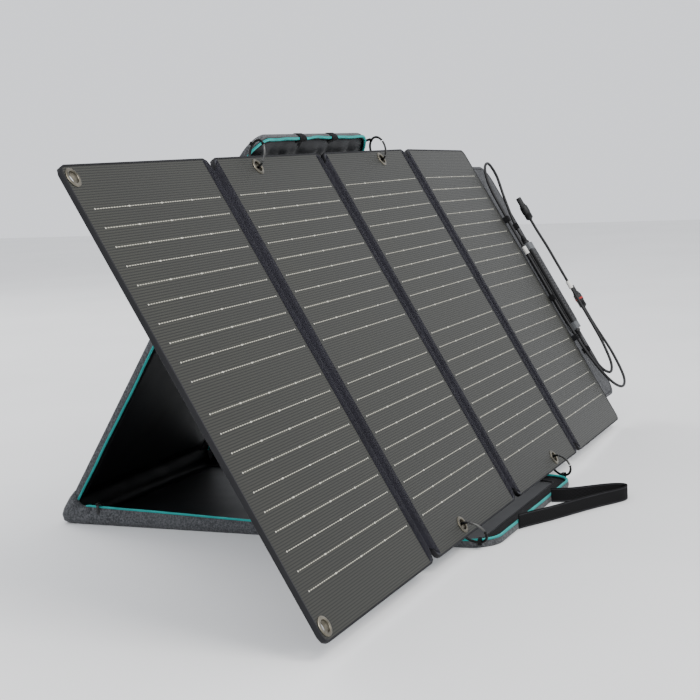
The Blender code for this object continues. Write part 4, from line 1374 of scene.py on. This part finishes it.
def dress_junction_box(place, at, normal):
    """A long ribbed case with grey end caps and a corrugated boot at each end."""
    base_middle = 0.3 + BOX_BASE / 2
    lid_middle = 0.6 + BOX_BASE + BOX_LID / 2
    halves = (("junction_box_base", base_middle, BOX_BASE), ("junction_box_lid", lid_middle, BOX_LID))
    for node, middle, tall in halves:
        bm = bmesh.new()
        soft_block(bm, place, (BOX_X, BOX_Y, middle), (BOX_WIDTH - 0.4, BOX_LENGTH - 34, tall), 2.2)
        box = mesh_object(f"{node}_case", bm, "plastic", "cable_flap")
        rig.replaces(box, node)
    bm = bmesh.new()
    top = 0.6 + BOX_BASE + BOX_LID
    for k in range(22):
        y = BOX_Y - 78 + k * 7.4
        sweep(bm, [at(BOX_X - 13, y, top), at(BOX_X + 13, y, top)], circle(1.1 * MM, 8), normal=normal)
    mesh_object("junction_box_ribs", bm, "plastic", "cable_flap")
    for side, name in ((1, "upper"), (-1, "lower")):
        bm = bmesh.new()
        middle = (0.6 + BOX_BASE + BOX_LID) / 2
        end = BOX_Y + side * (BOX_LENGTH / 2 - 9)
        soft_block(bm, place, (BOX_X, end, middle), (BOX_WIDTH, 17, middle * 2 - 0.6), 2.6)
        mesh_object(f"junction_box_cap_{name}", bm, "end_cap", "cable_flap")
        reach = BOX_LENGTH / 2 + 0.3
        profile = [(3.2, -0.2), (8, -0.2), (8.2, 1), (8.2, 4), (7.4, 4.6)]
        for k in range(4):
            profile += [(6.6 - k * 0.6, 5.4 + k * 3), (5.4 - k * 0.5, 6.6 + k * 3)]
            profile += [(6.3 - k * 0.6, 7.8 + k * 3)]
        profile += [(3.4, 17.4), (3.2, 17.4)]
        spot = lead_place(place, BOX_X, BOX_Y + side * reach, 10, -90 * side)
        gland = turned(f"boot_{name}", millimetres(profile), spot, "plastic", "cable_flap", 28)
        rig.replaces(gland, f"gland_{name}")


def lead_place(place, x, y, z, turn):
    return place @ Matrix.Translation((x * MM, y * MM, z * MM)) @ Matrix.Rotation(math.radians(turn), 4, "X")


def dress_connectors(place):
    """Two moulded plugs with ridged collars and latches, a red ring on one, and each lead's white sleeve."""
    ends = {"positive": ("connector_male", LEAD_A[-1], 1), "negative": ("connector_female", LEAD_B[-1], 0)}
    pieces = {pole: [] for pole in ends}
    for pole, (name, (x, y, z), long_nose) in ends.items():
        spot = lead_place(place, x, y + 0.3, z, -90)
        profile = [(0.01, 0), (4.6, 0), (5.6, 1.4), (8.2, 3.6), (8.6, 5), (7.8, 5.8)]
        for k in range(5):
            profile += [(8.6, 6.8 + k * 1.8), (7.8, 7.6 + k * 1.8)]
        profile += [(9, 18), (9, 32), (8.2, 34), (7, 35), (7, 38), (6, 39)]
        profile += [(5, 40), (5, 55.6), (4, 56)] if long_nose else [(6, 55.6), (5.2, 56)]
        profile += [(0.01, 56)]
        plug = turned(f"{name}_shell", millimetres(profile), spot, "plastic", "cable_flap", 32)
        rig.replaces(plug, name)
        pieces[pole].append(plug)
        bm = bmesh.new()
        for side in (-1, 1):
            latch = ((8.6, 27), (9.6, 34), (8.8, 42), (7.2, 50))
            line = [spot @ Vector((side * r * MM, 0, h * MM)) for r, h in latch]
            sweep(bm, line, strap_section(5 * MM, 1.6 * MM), normal=spot.to_3x3() @ Vector((side, 0, 0)))
        pieces[pole].append(mesh_object(f"{name}_latches", bm, "plastic", "cable_flap"))
    spot = lead_place(place, LEAD_A[-1][0], LEAD_A[-1][1] + 0.3, LEAD_A[-1][2], -90)
    ring = [(8.9, 20), (9.4, 20.4), (9.4, 24), (8.9, 24.4)]
    marked = turned("polarity_ring", millimetres(ring), spot, "red", "cable_flap", 32)
    pieces["positive"].append(marked)
    for pole, x, y, z in (("positive", 10, 420, 10), ("negative", 97, 310, 35)):
        profile = [(3.2, -9), (4.5, -9), (4.9, -8.2), (4.9, 8.2), (4.5, 9), (3.2, 9)]
        spot = lead_place(place, x, y, z, 90)
        profile = millimetres(profile)
        tag = turned(f"lead_tag_{pole}_sleeve", profile, spot, "tag", "cable_flap", 28)
        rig.replaces(tag, f"lead_tag_{pole}")
        pieces[pole].append(tag)
    return pieces


# ---------------------------------------------------------------- stage


def make_stage():
    bm = bmesh.new()
    bmesh.ops.create_grid(bm, x_segments=2, y_segments=2, size=9)
    floor = mesh_object("floor", bm, "tag", None, smooth=False)
    graph = Graph("studio_floor", roughness=0.75, Specular_IOR_Level=0.3)
    cloud = graph.noise(graph.coords(), 2.0, 3)
    graph.colour(graph.ramp(cloud, [(0.3, (0.79, 0.79, 0.785)), (0.7, (0.83, 0.83, 0.825))]))
    floor.data.materials[0] = graph.material
    del floor["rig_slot"]
    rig.stage(floor)
    world = bpy.data.worlds.new("studio")
    bpy.context.scene.world = world
    world.use_nodes = True
    world.node_tree.nodes["Background"].inputs["Color"].default_value = (0.93, 0.95, 1.0, 1)
    world.node_tree.nodes["Background"].inputs["Strength"].default_value = 1.25
    lamps = (
        ("key", (-1.6, -3.6, 4.2), 2.6, 210, (1.0, 0.98, 0.95)),
        ("fill", (-4.4, 1.0, 2.4), 3.0, 70, (0.92, 0.95, 1.0)),
        ("back", (2.2, 3.6, 3.2), 2.4, 90, (1.0, 1.0, 1.0)),
    )
    for name, place, size, power, colour in lamps:
        data = bpy.data.lights.new(name, "AREA")
        data.size, data.energy, data.color = size, power, colour
        lamp = bpy.data.objects.new(name, data)
        lamp.location = place
        lamp.rotation_euler = (Vector((0, 0, 0.3)) - Vector(place)).to_track_quat("-Z", "Y").to_euler()
        bpy.context.scene.collection.objects.link(lamp)


CAMERA_PLACE = Vector((-2.3815, -1.1079, 0.6149))
CAMERA_YAW = 1.1581
CAMERA_PITCH = 0.1428
CAMERA_ROLL = -0.0486
CAMERA_LENS = 77.24
CAMERA_SHIFT = (-0.0077, 0.0278)


def make_camera():
    flat = math.cos(CAMERA_PITCH)
    forward = Vector((math.sin(CAMERA_YAW) * flat, math.cos(CAMERA_YAW) * flat, -math.sin(CAMERA_PITCH)))
    level = Vector((math.cos(CAMERA_YAW), -math.sin(CAMERA_YAW), 0))
    upright = level.cross(forward)
    right = level * math.cos(CAMERA_ROLL) + upright * math.sin(CAMERA_ROLL)
    up = upright * math.cos(CAMERA_ROLL) - level * math.sin(CAMERA_ROLL)
    data = bpy.data.cameras.new("camera")
    data.lens = CAMERA_LENS
    data.sensor_width = 36
    data.shift_x, data.shift_y = CAMERA_SHIFT
    camera = bpy.data.objects.new("camera", data)
    rotation = Matrix((right, up, -forward)).transposed().to_4x4()
    camera.matrix_world = Matrix.Translation(CAMERA_PLACE) @ rotation
    bpy.context.scene.collection.objects.link(camera)
    bpy.context.scene.camera = camera


make_camera()
make_stage()
for leaf_number in (1, 2, 3, 4):
    dress_leaf(leaf_number)
dress_hinge(1, "leaf_1", "panel_centre")
dress_hinge(2, "panel_centre", "panel_centre")
dress_hinge(3, "panel_centre", "leaf_4")
dress_eyelets()
dress_carabiners()
dress_flap("floor", FLOOR, FLOOR_LENGTH, "base")
dress_flap("rear", REAR, FLAP_LENGTH, "rear_flap")
dress_spine()
dress_handles()
dress_corner_loops()
dress_zip_slider()
dress_cables()

with open("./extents.json", "w") as sizes:
    json.dump({"cad": [list(c) for c in cad_box], "visual": [list(c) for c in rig.bounds()]}, sizes)
